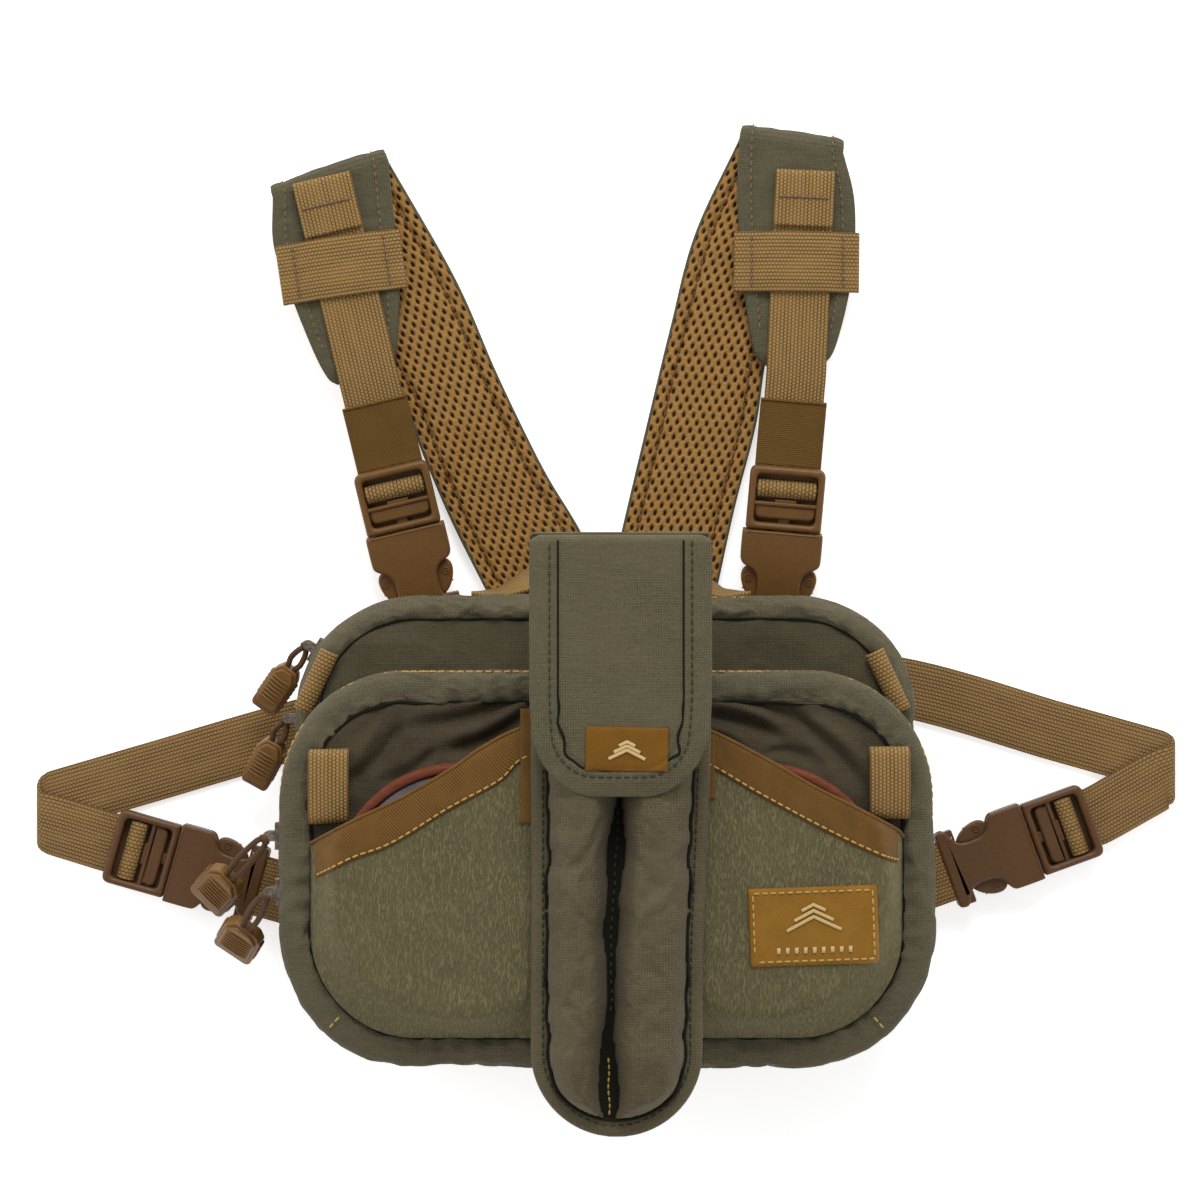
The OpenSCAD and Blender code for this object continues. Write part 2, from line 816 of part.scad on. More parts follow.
pull(corner_eye, [-145, -40, 19]);  // pull_rear_upper
pull(rear_eye, [-149, -72, 18]);  // pull_rear_lower
pull(front_eyes[0], [-168, -121, 28]);  // pull_front_upper
pull(front_eyes[1], [-157, -142, 28]);  // pull_front_lower
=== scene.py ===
"""Looks of the chest pack on its four-strap harness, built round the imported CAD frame."""

import math

import bpy
import numpy as np
from mathutils import Matrix, Vector


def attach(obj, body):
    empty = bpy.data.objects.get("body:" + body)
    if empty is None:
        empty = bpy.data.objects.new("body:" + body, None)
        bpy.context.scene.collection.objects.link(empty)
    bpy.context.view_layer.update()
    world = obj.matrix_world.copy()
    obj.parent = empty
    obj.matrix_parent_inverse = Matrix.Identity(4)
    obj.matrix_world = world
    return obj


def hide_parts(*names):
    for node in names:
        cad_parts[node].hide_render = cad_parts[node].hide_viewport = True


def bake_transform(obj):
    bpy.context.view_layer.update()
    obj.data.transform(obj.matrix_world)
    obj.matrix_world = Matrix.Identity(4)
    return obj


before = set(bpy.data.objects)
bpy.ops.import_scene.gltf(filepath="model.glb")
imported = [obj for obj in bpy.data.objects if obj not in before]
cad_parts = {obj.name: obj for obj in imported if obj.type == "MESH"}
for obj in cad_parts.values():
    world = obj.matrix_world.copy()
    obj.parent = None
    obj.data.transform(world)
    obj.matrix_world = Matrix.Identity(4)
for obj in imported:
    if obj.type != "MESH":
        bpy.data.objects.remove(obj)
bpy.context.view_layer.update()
SCENE = bpy.context.scene
MM = 0.001
UP_Y = np.array([0.0, 1.0, 0.0])
UP = (0.0, 0.0, 1.0)
GOLD_R = 0.42  # radius of the heavier threads
LID_SLACK = 0.035  # how much too long a lid's rolled cloth is cut

# ---------------------------------------------------------------- numbers shared with the frame
# Everything below is in millimetres, in the frame's own axes.
REAR = dict(half=127, top=6, low=-184, r_top=48, r_low=55)
FRONT = dict(half=132, top=-24.5, low=-184, r_top=50, r_low=55)
ZIP_FOOT_Y = -129
CALLS = ((-59.5, -111), (62.5, -111))
CALL_Z, CALL_T, CALL_R, SLATE_R = 77.4, 15, 51, 46.9
POUCH = dict(left=-30.5, right=41, top=30, low=-209)
BUCKLES = {
    "top_left": ((-92, 62, 14.6), -76.7, 8),
    "top_right": ((77.5, 62, 14.6), -94.8, 8),
    "side_left": ((-210.8, -98.5, 8.8), -15.7, 0),
    "side_right": ((207, -87.5, 8.8), 200, 0),
}
WEB_W, WEB_T = 25.4, 1.8
SETTLE_FRAMES = 14
SKIN_PASSES = 2600


# ---------------------------------------------------------------- numbers and curves
def unit(v):
    """Vectors of length 1 in the same directions."""
    v = np.asarray(v, float)
    return v / np.maximum(np.linalg.norm(v, axis=-1, keepdims=True), 1e-9)


def step01(t):
    """A smooth step from 0 to 1."""
    t = np.clip(t, 0, 1)
    return t * t * (3 - 2 * t)


def waves(x, y, size, seed, count=7):
    """Smooth noise from about -1 to 1, with features of that size in mm."""
    rng = np.random.default_rng(seed)
    total = 0
    for _ in range(count):
        turn, phase = rng.uniform(0, 2 * math.pi, 2)
        k = 2 * math.pi / size * rng.uniform(0.5, 1.5)
        total = total + np.sin(k * (x * math.cos(turn) + y * math.sin(turn)) + phase)
    return total / math.sqrt(count)


def xyz(*parts):
    """Points from separate coordinates, spread to one common size."""
    return np.stack(np.broadcast_arrays(*parts), -1)


def lengths(points):
    """Distance along a line at each of its points."""
    return np.concatenate([[0], np.cumsum(np.linalg.norm(np.diff(points, axis=0), axis=1))])


def even(points, step=None, count=None):
    """The same line, with points at even distances."""
    points = np.asarray(points, float)
    s = lengths(points)
    count = count or max(2, int(round(s[-1] / step)) + 1)
    at = np.linspace(0, s[-1], count)
    return np.stack([np.interp(at, s, points[:, i]) for i in range(points.shape[1])], 1)


def smooth(points, step=None, count=None):
    """A smooth line through the points."""
    p = np.asarray(points, float)
    p = np.vstack([2 * p[0] - p[1], p, 2 * p[-1] - p[-2]])
    t = np.linspace(0, 1, 16, endpoint=False)[:, None]
    out = []
    for a, b, c, d in zip(p, p[1:], p[2:], p[3:]):
        out.append(b + 0.5 * t * (c - a + t * (2 * a - 5 * b + 4 * c - d + t * (3 * (b - c) + d - a))))
    return even(np.vstack([*out, p[-2:-1]]), step, count)


# ---------------------------------------------------------------- meshes
class Shape:
    """Points in mm, faces, and weave coordinates in mm, gathered into one mesh."""

    def __init__(self):
        self.points, self.faces, self.lay, self.count = [], [], [], 0

    def add(self, points, faces, lay=None):
        points = np.asarray(points, float).reshape(-1, 3)
        lay = np.zeros_like(points) if lay is None else np.asarray(lay, float).reshape(-1, 3)
        self.points.append(points)
        self.lay.append(lay)
        self.faces += [[i + self.count for i in f] for f in faces]
        self.count += len(points)
        return self

    def join(self, other):
        return self.add(np.vstack(other.points), other.faces, np.vstack(other.lay))


def quads(rows, cols, close_rows=False, close_cols=False):
    """Faces of a grid of points."""
    i = np.arange(rows if close_rows else rows - 1)[:, None]
    j = np.arange(cols if close_cols else cols - 1)[None, :]
    a, b = i * cols + j, i * cols + (j + 1) % cols
    c, d = ((i + 1) % rows) * cols + (j + 1) % cols, ((i + 1) % rows) * cols + j
    return np.stack([a, b, c, d], -1).reshape(-1, 4).tolist()


def build(shape, name, look, body, stands_for=(), matrix=None, thick=0, side=-1):
    """Makes the mesh, gives it its finish and sets it on its body. A body given as (body a, body b, start,
    end) is not used: the mesh then stays where it is, on no body."""
    mesh = bpy.data.meshes.new(name)
    mesh.from_pydata((np.vstack(shape.points) * MM).tolist(), [], shape.faces)
    mesh.validate()
    lay = mesh.attributes.new("lay", "FLOAT_VECTOR", "POINT")
    lay.data.foreach_set("vector", np.vstack(shape.lay).astype(np.float32).ravel())
    mesh.shade_smooth()
    mesh.materials.append(LOOK[look])
    obj = bpy.data.objects.new(name, mesh)
    SCENE.collection.objects.link(obj)
    if matrix is not None:
        obj.matrix_world = matrix
    if thick:
        mod = obj.modifiers.new("cloth", "SOLIDIFY")
        mod.thickness, mod.offset = thick * MM, side
    if isinstance(body, tuple):
        a, b, start, end = body
        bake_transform(obj)
    else:
        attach(obj, body)
    if stands_for:
        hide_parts(*stands_for)
    return obj


def settle(shape, held, grow, cap, pressure=0.0):
    """Cloth simulation: cloth cut a little too large wrinkles between the places that hold it.
    No point moves further than cap mm."""
    points = np.vstack(shape.points)
    mesh = bpy.data.meshes.new("settling")
    mesh.from_pydata((points * MM).tolist(), [], shape.faces)
    twin = bpy.data.objects.new("settling", mesh)
    SCENE.collection.objects.link(twin)
    group = twin.vertex_groups.new(name="held")
    held = np.ravel(held)
    for i in np.flatnonzero(held > 0.01):
        group.add([int(i)], float(held[i]), "REPLACE")
    mod = twin.modifiers.new("cloth", "CLOTH")
    cloth = mod.settings
    cloth.vertex_group_mass = "held"
    cloth.pin_stiffness = 5
    cloth.mass = 0.01
    cloth.quality = 4
    cloth.tension_stiffness = cloth.compression_stiffness = 20
    cloth.shear_stiffness = 8
    cloth.bending_stiffness = 0.02
    cloth.shrink_min = -grow
    cloth.air_damping = 2
    cloth.effector_weights.gravity = 0
    if pressure:
        cloth.use_pressure = True
        cloth.uniform_pressure_force = pressure
    mod.collision_settings.use_collision = False
    mod.point_cache.frame_start, mod.point_cache.frame_end = 1, SETTLE_FRAMES
    for frame_now in range(1, SETTLE_FRAMES + 1):
        SCENE.frame_set(frame_now)
    result = twin.evaluated_get(bpy.context.evaluated_depsgraph_get()).to_mesh()
    new = np.zeros(len(points) * 3)
    result.vertices.foreach_get("co", new)
    move = new.reshape(-1, 3) / MM - points
    size = np.linalg.norm(move, axis=1, keepdims=True)
    move = move * np.tanh(size / cap) * cap / np.maximum(size, 1e-6)
    print(f"settled {len(points)} points, moved {size.mean():.2f} mm on average, {size.max():.2f} at most")
    bpy.data.objects.remove(twin)
    SCENE.frame_set(1)
    shape.points = [points + move]
    return shape


def grid(points, lay, close_rows=False, close_cols=False, flip=False):
    """A sheet from rows of points."""
    rows, cols = points.shape[:2]
    faces = quads(rows, cols, close_rows, close_cols)
    return Shape().add(points, [f[::-1] for f in faces] if flip else faces, lay)


def sweep(points, across, ring, close=False, cap=True, square=True):
    """A ring of (across, out) offsets in mm carried along a line."""
    points, across = np.asarray(points, float), unit(across)
    if close:
        along = unit(np.roll(points, -1, 0) - np.roll(points, 1, 0))
    else:
        along = unit(np.gradient(points, axis=0))
    if square:
        across = unit(across - along * np.sum(across * along, 1, keepdims=True))
    out = unit(np.cross(along, across))
    ring = np.asarray(ring, float)
    if ring.ndim == 2:
        ring = np.repeat(ring[None], len(points), 0)
    p = points[:, None] + across[:, None] * ring[..., :1] + out[:, None] * ring[..., 1:2]
    s = lengths(points)
    lay = np.stack([np.repeat(s[:, None], ring.shape[1], 1), ring[..., 0], ring[..., 1]], -1)
    shape = grid(p, lay, close, True)
    n = ring.shape[1]
    if cap and not close:
        last = (len(points) - 1) * n
        shape.faces += [list(range(n - 1, -1, -1)), [last + i for i in range(n)]]
    return shape


def flat_ring(width, thick, round_edge=0.5):
    """Section of a strap, with soft edges."""
    h, t, e = width / 2, thick / 2, min(round_edge, width / 4)
    top = [(-h, 0), (-h + e * 0.3, t * 0.8), (-h + e, t), (-h / 2, t), (0, t), (h / 2, t), (h - e, t),
           (h - e * 0.3, t * 0.8), (h, 0)]
    return np.array(top + [(x, -z) for x, z in reversed(top[1:-1])])


def band(points, across, width=WEB_W, thick=WEB_T, step=2.0, square=True):
    """Webbing along a line, with its sideways direction at each given point."""
    points = np.asarray(points, float)
    across = np.broadcast_to(np.asarray(across, float), points.shape)
    both = smooth(np.hstack([points, across * 1e-3]), step)
    return sweep(both[:, :3], both[:, 3:], flat_ring(width, thick), square=square)


def circle(radius, sides=10):
    a = np.linspace(0, 2 * math.pi, sides, endpoint=False)
    return xyz(np.cos(a) * radius, np.sin(a) * radius)


def tube(points, radius, sides=10, step=1.5):
    """A round bar along a line, smoothed first."""
    points = smooth(points, step)
    along = unit(np.gradient(points, axis=0))
    helper = np.where(np.abs(along[:, 2:3]) > 0.9, [[1.0, 0, 0]], [[0, 0, 1.0]])
    return sweep(points, np.cross(along, helper), circle(radius, sides))


def cord(line, radius, sides=6, close=False):
    """A round cord along a line that lies nearly flat."""
    return sweep(line, np.repeat([UP], len(line), 0), circle(radius, sides), close)


def stitches(line, normal=UP, pitch=3.2, length=2.2, radius=0.36, lift=0.15):
    """A row of threads on a line, each a short capsule sunk into the cloth."""
    shape = Shape()
    s = lengths(line)
    line = np.asarray(line, float)
    starts = np.arange(pitch / 2, s[-1] - length, pitch)
    normal = np.broadcast_to(unit(normal), line.shape)
    for a in starts:
        at = a + length * np.array([0, 0.12, 0.5, 0.88, 1])
        p = np.stack([np.interp(at, s, line[:, i]) for i in range(3)], 1)
        n = np.stack([np.interp(at, s, normal[:, i]) for i in range(3)], 1)
        p = p + n * np.array([-0.2, lift * 0.6, lift, lift * 0.6, -0.2])[:, None]
        size = np.array([0.35, 0.9, 1, 0.9, 0.35])[:, None, None]
        ring = circle(radius, 6)[None] * size
        shape.join(sweep(p, np.cross(unit(p[-1] - p[0])[None], n), ring))
    return shape


def plate(outer, holes=(), z1=0.0, z2=1.0, bevel=0.5, rounds=3):
    """A flat moulded part with round edges, cut from an outline with holes in it."""
    curve = bpy.data.curves.new("plate", "CURVE")
    curve.dimensions, curve.fill_mode = "2D", "BOTH"
    curve.extrude = (z2 - z1) / 2 - bevel
    curve.bevel_depth, curve.bevel_resolution, curve.offset = bevel, rounds, -bevel
    for line in (outer, *holes):
        spline = curve.splines.new("POLY")
        spline.points.add(len(line) - 1)
        spline.points.foreach_set("co", [c for p in line for c in (p[0], p[1], 0, 1)])
        spline.use_cyclic_u = True
    obj = bpy.data.objects.new("plate", curve)
    SCENE.collection.objects.link(obj)
    mesh = bpy.data.meshes.new_from_object(obj.evaluated_get(bpy.context.evaluated_depsgraph_get()))
    points = np.array([v.co for v in mesh.vertices]) + [0, 0, (z1 + z2) / 2]
    faces = [list(f.vertices) for f in mesh.polygons]
    bpy.data.objects.remove(obj)
    bpy.data.curves.remove(curve)
    bpy.data.meshes.remove(mesh)
    return Shape().add(points, faces, points)


def rounded(corners, radius, steps=6):
    """A polygon with its corners rounded; radius is one number or one per corner."""
    corners = [np.array(c, float) for c in corners]
    radii = [radius] * len(corners) if np.isscalar(radius) else radius
    out = []
    for i, c in enumerate(corners):
        a, b = corners[i - 1], corners[(i + 1) % len(corners)]
        r = min(radii[i], 0.49 * np.linalg.norm(a - c), 0.49 * np.linalg.norm(b - c))
        p, q = c + unit(a - c) * r, c + unit(b - c) * r
        for t in np.linspace(0, 1, steps):
            out.append((1 - t) ** 2 * p + 2 * t * (1 - t) * c + t * t * q)
    return np.array(out)


def box_line(x1, y1, x2, y2, r):
    """A rectangle with rounded corners."""
    return rounded([(x1, y1), (x2, y1), (x2, y2), (x1, y2)], r)


def lathe(profile, centre, sides=120):
    """Turned part: (radius, z) points about a vertical axis."""
    profile = np.asarray(profile, float)
    turn = np.linspace(0, 2 * math.pi, sides, endpoint=False)[:, None]
    p = xyz(centre[0] + profile[:, 0] * np.cos(turn), centre[1] + profile[:, 0] * np.sin(turn), profile[:, 1])
    return grid(p, p, True, False)


# ---------------------------------------------------------------- outlines of the compartments
def round_line(shape, inset=0.0, count=560):
    """Points, outward normals and distances round a compartment, clockwise from the top's middle."""
    h, top, low = shape["half"] - inset, shape["top"] - inset, shape["low"] + inset
    rt, rl = shape["r_top"] - inset, shape["r_low"] - inset
    bits = []

    def arc(cx, cy, r, a1, a2):
        a = np.radians(np.linspace(a1, a2, 90))
        n = np.stack([np.cos(a), np.sin(a)], 1)
        bits.append(np.hstack([np.array([cx, cy]) + r * n, n]))

    arc(h - rt, top - rt, rt, 90, 0)
    arc(h - rl, low + rl, rl, 0, -90)
    arc(-h + rl, low + rl, rl, -90, -180)
    arc(-h + rt, top - rt, rt, 180, 90)
    line = np.vstack([[[0, top, 0, 1]], *bits, [[0, top, 0, 1]]])
    s = lengths(line[:, :2])
    at = np.linspace(0, s[-1], count, endpoint=False)
    both = np.stack([np.interp(at, s, line[:, i]) for i in range(4)], 1)
    return both[:, :2], unit(both[:, 2:]), at


def column_ends(x, shape, inset=0.0):
    """Lowest and highest y of a compartment's outline at x."""
    h, top, low = shape["half"] - inset, shape["top"] - inset, shape["low"] + inset
    rt, rl = shape["r_top"] - inset, shape["r_low"] - inset
    over_t = np.clip(np.abs(x) - (h - rt), 0, rt)
    over_l = np.clip(np.abs(x) - (h - rl), 0, rl)
    return low + rl - np.sqrt(rl**2 - over_l**2), top - rt + np.sqrt(rt**2 - over_t**2)


def in_order(keep):
    """Indices of the kept points of a closed line, starting after the gap."""
    order = np.roll(np.arange(len(keep)), -int(np.argmin(keep)))
    return order[keep[order]]


def rim(shape, profile, wrinkle=None, zone=None, rows=None):
    """Carries (out, z) points round a compartment's edge; wrinkle moves them in and out."""
    p, n, s = round_line(shape)
    prof = smooth(profile, count=rows) if rows else np.asarray(profile, float)
    if zone:
        order = in_order(p[:, 1] > ZIP_FOOT_Y if zone == "zip" else p[:, 1] < ZIP_FOOT_Y)
        p, n, s = p[order], n[order], s[0] + np.arange(len(order)) * (s[1] - s[0])
    t = lengths(prof)
    out = np.repeat(prof[None, :, 0], len(p), 0)
    z = np.repeat(prof[None, :, 1], len(p), 0)
    if wrinkle:
        d_out, d_z = wrinkle(s[:, None], t[None] / t[-1])
        out, z = out + d_out, z + d_z
    xy = p[:, None] + n[:, None] * out[..., None]
    points = np.concatenate([xy, z[..., None]], -1)
    return grid(points, xyz(s[:, None], t, 0.0), not zone)


def columns(xs, low, high, rows, height):
    """A sheet in columns from low(x) to high(x), at height(x, y)."""
    xs = np.asarray(xs, float)
    v = np.linspace(0, 1, rows)[None]
    lo, hi = low(xs)[:, None], high(xs)[:, None]
    x = np.repeat(xs[:, None], rows, 1)
    y = lo + (hi - lo) * v
    return grid(xyz(x, y, height(x, y)), xyz(y, x, 0.0), flip=True)


def bunched(a, b, count):
    """Numbers from a to b, closer together near both ends."""
    t = np.linspace(-math.pi / 2, math.pi / 2, count)
    return (a + b) / 2 + (b - a) / 2 * (0.35 * np.sin(t) + 0.65 * t / (math.pi / 2))


# ---------------------------------------------------------------- finishes
class Finish:
    """Builds one procedural material. Coordinates are in mm."""

    def __init__(self, name):
        self.mat = bpy.data.materials.new(name)
        self.mat.use_nodes = True
        self.tree = self.mat.node_tree
        self.tree.nodes.clear()
        self.bsdf = self.node("BsdfPrincipled")
        out = self.node("OutputMaterial")
        self.tree.links.new(self.bsdf.outputs[0], out.inputs[0])

    def node(self, kind, inputs=None, **settings):
        made = self.tree.nodes.new("ShaderNode" + kind)
        for key, value in settings.items():
            setattr(made, key, value)
        for key, value in (inputs or {}).items():
            self.put(made, key, value)
        return made

    def put(self, node, key, value):
        if isinstance(value, bpy.types.NodeSocket):
            self.tree.links.new(value, node.inputs[key])
        else:
            node.inputs[key].default_value = value

    def math(self, operation, a, b=0.0, c=0.0):
        return self.node("Math", {0: a, 1: b, 2: c}, operation=operation).outputs[0]

    def plus(self, a, b):
        return self.math("ADD", a, b)

    def times(self, a, b):
        return self.math("MULTIPLY", a, b)

    def place(self):
        at = self.node("TexCoord").outputs["Object"]
        return self.node("VectorMath", {0: at, 3: 1000.0}, operation="SCALE").outputs[0]

    def weave(self):
        return self.node("Attribute", attribute_name="lay").outputs["Vector"]

    def split(self, vector):
        made = self.node("SeparateXYZ", {0: vector})
        return made.outputs[0], made.outputs[1], made.outputs[2]

    def stretch(self, vector, scale):
        return self.node("VectorMath", {0: vector, 1: scale}, operation="MULTIPLY").outputs[0]

    def noise(self, vector, size, detail=2.0, rough=0.5):
        settings = {"Vector": vector, "Scale": 1 / size, "Detail": detail, "Roughness": rough}
        return self.node("TexNoise", settings).outputs["Fac"]

    def range(self, value, low, high, to_low=0.0, to_high=1.0):
        made = self.node("MapRange", {0: value, 1: low, 2: high, 3: to_low, 4: to_high})
        made.interpolation_type = "SMOOTHSTEP"
        return made.outputs[0]

    def mix(self, factor, a, b):
        a, b = (c if isinstance(c, bpy.types.NodeSocket) else (*c, 1.0) for c in (a, b))
        return self.node("Mix", {0: factor, 6: a, 7: b}, data_type="RGBA").outputs[2]

    def tones(self, colour, first, dark, light, second, share, other):
        """Dark to light by one pattern, then a share of another tone by a second one. A pattern is a
        value and the range it is taken over. A tone is a colour, or a factor of the main colour."""
        dark, light, other = (shade(colour, c) if np.isscalar(c) else c for c in (dark, light, other))
        base = self.mix(self.range(*first), dark, light)
        return self.mix(self.range(*second, 0.0, share), base, other)

    def ridge(self, value, pitch, phase=0.0):
        """From 0 to 1 and back every pitch mm."""
        turn = self.math("MULTIPLY_ADD", value, 2 * math.pi / pitch, phase)
        return self.math("MULTIPLY_ADD", self.math("SINE", turn), 0.5, 0.5)

    def done(self, colour, roughness, height=None, depth=0.1, shine=0.5, sheen=0.0, **sockets):
        """Sets the shader; height is a bump of that depth in mm, and other sockets go by name."""
        linked = isinstance(colour, bpy.types.NodeSocket)
        self.put(self.bsdf, "Base Color", colour if linked else (*colour, 1))
        self.put(self.bsdf, "Roughness", roughness)
        if height is not None:
            bump = self.node("Bump", {"Strength": 1.0, "Distance": depth * MM, "Height": height})
            self.put(self.bsdf, "Normal", bump.outputs[0])
        sockets.update(Specular_IOR_Level=shine, Sheen_Weight=sheen)
        for key, value in sockets.items():
            self.put(self.bsdf, key.replace("_", " "), value)
        return self.mat


def shade(colour, k):
    """A lighter or darker colour."""
    return tuple(c * k for c in colour)


def nylon(name, colour, light=1.52, dark=0.54, sheen=0.05, worn=None):
    """Plain-woven pack cloth: fine crossed threads, slubs, and slow changes of tone."""
    f = Finish(name)
    at = f.place()
    along, across, _ = f.split(f.weave())
    warp, weft = f.ridge(along, 1.05), f.ridge(across, 1.05, 1.2)
    cell = f.times(warp, weft)
    speckle = f.noise(at, 0.75, 3.0, 0.7)
    slow = f.noise(at, 26.0, 3.0, 0.55)
    slub = f.noise(f.stretch(at, (0.12, 1.1, 0.6)), 1.0, 2.0)
    tone = f.plus(f.times(speckle, 0.55), f.times(cell, 0.21))
    tone = f.plus(tone, f.times(slub, 0.2))
    worn = shade(worn or colour, 1.12)
    base = f.tones(colour, (tone, 0.22, 0.78), dark, light, (slow, 0.3, 0.75), 0.35, worn)
    rough = f.range(speckle, 0.3, 0.7, 0.72, 0.92)
    height = f.plus(f.times(cell, 0.6), speckle)
    return f.done(base, rough, height, 0.16, sheen=sheen, Sheen_Roughness=0.4, shine=0.12)


def stretch_cloth(name, colour):
    """Crinkled stretch cloth: short broken furrows that run up and down."""
    f = Finish(name)
    at = f.place()
    fine = f.noise(f.stretch(at, (2.3, 0.4, 0.4)), 1.0, 2.0, 0.6)
    broad = f.noise(f.stretch(at, (1.2, 0.3, 0.3)), 1.7, 2.0)
    slow = f.noise(at, 34.0, 2.0)
    furrow = f.range(fine, 0.36, 0.6)
    base = f.mix(furrow, shade(colour, 0.72), shade(colour, 1.12))
    base = f.mix(f.range(slow, 0.3, 0.7, 0.0, 0.3), base, shade(colour, 1.15))
    height = f.plus(furrow, f.times(broad, 0.8))
    return f.done(base, f.range(fine, 0.3, 0.7, 0.8, 0.93), height, 0.32, sheen=0.04, shine=0.1)


def webbing(name, colour, dark, row=1.45, column=1.55, depth=0.3):
    """Woven strap: fine cords along it with dark gaps, each cord crossed by small offset stitches."""
    f = Finish(name)
    lay = f.weave()
    along, across, _ = f.split(lay)
    col = f.math("DIVIDE", across, column)
    odd = f.times(f.math("MODULO", f.math("FLOOR", f.plus(col, 100.0)), 2.0), math.pi)
    cord = f.math("POWER", f.math("ABSOLUTE", f.math("SINE", f.times(col, math.pi))), 0.55)
    turn = f.plus(f.times(along, 2 * math.pi / row), odd)
    stitch = f.math("MULTIPLY_ADD", f.math("SINE", turn), 0.5, 0.5)
    body = f.times(cord, f.math("MULTIPLY_ADD", stitch, 0.58, 0.48))
    fuzz = f.noise(lay, 0.55, 2.0, 0.7)
    wear = f.noise(f.stretch(lay, (0.25, 1, 1)), 5.0, 2.0)
    tone = f.math("MULTIPLY_ADD", fuzz, 0.35, body)
    base = f.tones(colour, (tone, 0.2, 1.05), dark, 1.0, (wear, 0.35, 0.75), 0.25, 1.15)
    return f.done(base, f.range(fuzz, 0.3, 0.7, 0.62, 0.85), body, depth, sheen=0.03, shine=0.15)


def twill(name, colour, dark, pitch=1.1, slant=1.0, depth=0.16):
    """Fine slanting rib, for bindings, elastic and labels."""
    f = Finish(name)
    lay = f.weave()
    along, across, _ = f.split(lay)
    rib = f.ridge(f.math("MULTIPLY_ADD", across, slant, along), pitch)
    fuzz = f.noise(lay, 0.6, 2.0, 0.7)
    slow = f.noise(lay, 9.0, 2.0)
    tone = f.plus(f.times(rib, 0.55), f.times(fuzz, 0.5))
    base = f.tones(colour, (tone, 0.2, 0.85), dark, 1.0, (slow, 0.3, 0.7), 0.3, 1.15)
    return f.done(base, f.range(fuzz, 0.3, 0.7, 0.6, 0.85), rib, depth, sheen=0.03, shine=0.12)


HOLE_ROW, HOLE_COL, HOLE_L, HOLE_W = 6.6, 4.2, 1.28, 0.7


def spacer_mesh(name, colour, dark):
    """Air mesh: knitted ribs round staggered oval holes."""
    f = Finish(name)
    lay = f.weave()
    along, across, _ = f.split(lay)
    col = f.math("DIVIDE", across, HOLE_COL / 2)
    nearest = f.math("ROUND", col)
    odd = f.math("MODULO", f.plus(nearest, 200.0), 2.0)
    row = f.plus(f.math("DIVIDE", along, HOLE_ROW), f.times(odd, 0.5))
    dy = f.times(f.math("SUBTRACT", row, f.math("ROUND", row)), HOLE_ROW / HOLE_L)
    dx = f.times(f.math("SUBTRACT", col, nearest), HOLE_COL / 2 / HOLE_W)
    off = f.math("SQRT", f.plus(f.times(dx, dx), f.times(dy, dy)))
    fuzz = f.noise(lay, 0.8, 2.0, 0.7)
    slow = f.noise(lay, 14.0, 2.0)
    knit = f.tones(colour, (fuzz, 0.3, 0.7), 0.72, 1.2, (slow, 0.35, 0.7), 0.3, 0.8)
    base = f.mix(f.range(off, 0.72, 1.18), dark, knit)
    height = f.plus(f.range(off, 0.8, 1.7), f.times(fuzz, 0.4))
    return f.done(base, f.range(off, 0.8, 1.2, 0.95, 0.8), height, 0.5, sheen=0.03, shine=0.1)


def plastic(name, colour, grain=0.9, rough=0.42, scuff=0.35):
    """Moulded acetal: fine spark grain, with lighter scuffs."""
    f = Finish(name)
    at = f.place()
    fine = f.noise(at, grain, 3.0, 0.7)
    slow = f.noise(at, 11.0, 2.0)
    scratch = f.noise(f.stretch(at, (0.3, 1.6, 1)), 2.2, 3.0, 0.8)
    base = f.tones(colour, (fine, 0.3, 0.7), 0.86, 1.12, (slow, 0.3, 0.75), 0.35, 1.25)
    base = f.mix(f.range(scratch, 0.68, 0.8, 0.0, scuff), base, shade(colour, 1.7))
    return f.done(base, f.range(fine, 0.3, 0.7, rough - 0.06, rough + 0.12), fine, 0.05, shine=0.4)


def metal(name, colour):
    """Worn painted metal."""
    f = Finish(name)
    at = f.place()
    fine = f.noise(at, 1.6, 3.0, 0.7)
    base = f.mix(f.range(fine, 0.4, 0.65), shade(colour, 0.55), colour)
    return f.done(base, f.range(fine, 0.3, 0.7, 0.3, 0.5), fine, 0.04, Metallic=0.85)


def wood(name, colour, dark):
    """Turned hardwood: long grain with pores."""
    f = Finish(name)
    at = f.place()
    warp = f.noise(at, 18.0, 2.0)
    run = f.math("MULTIPLY_ADD", warp, 22.0, f.split(at)[1])
    ring = f.noise(f.node("CombineXYZ", {0: run, 1: 0.0, 2: 0.0}).outputs[0], 1.3, 4.0, 0.75)
    pore = f.noise(f.stretch(at, (0.16, 2.2, 1)), 1.0, 2.0, 0.7)
    base = f.tones(colour, (ring, 0.3, 0.7), dark, 1.0, (pore, 0.58, 0.72), 0.6, shade(dark, 0.6))
    return f.done(base, f.range(pore, 0.3, 0.7, 0.5, 0.65), pore, 0.08, shine=0.12)


def slate(name, colour):
    """Honed slate."""
    f = Finish(name)
    at = f.place()
    cloud, fine = f.noise(at, 9.0, 4.0, 0.6), f.noise(at, 0.8, 3.0, 0.7)
    base = f.tones(colour, (cloud, 0.3, 0.7), 0.8, 1.2, (fine, 0.55, 0.75), 0.3, 1.6)
    return f.done(base, f.range(fine, 0.3, 0.7, 0.6, 0.8), fine, 0.06)


def thread(name, colour):
    """Two-ply thread."""
    f = Finish(name)
    lay = f.weave()
    ply = f.ridge(f.plus(*f.split(lay)[:2]), 0.5)
    base = f.mix(ply, shade(colour, 0.7), shade(colour, 1.1))
    return f.done(base, f.range(ply, 0.0, 1.0, 0.7, 0.9), ply, 0.05, shine=0.15)


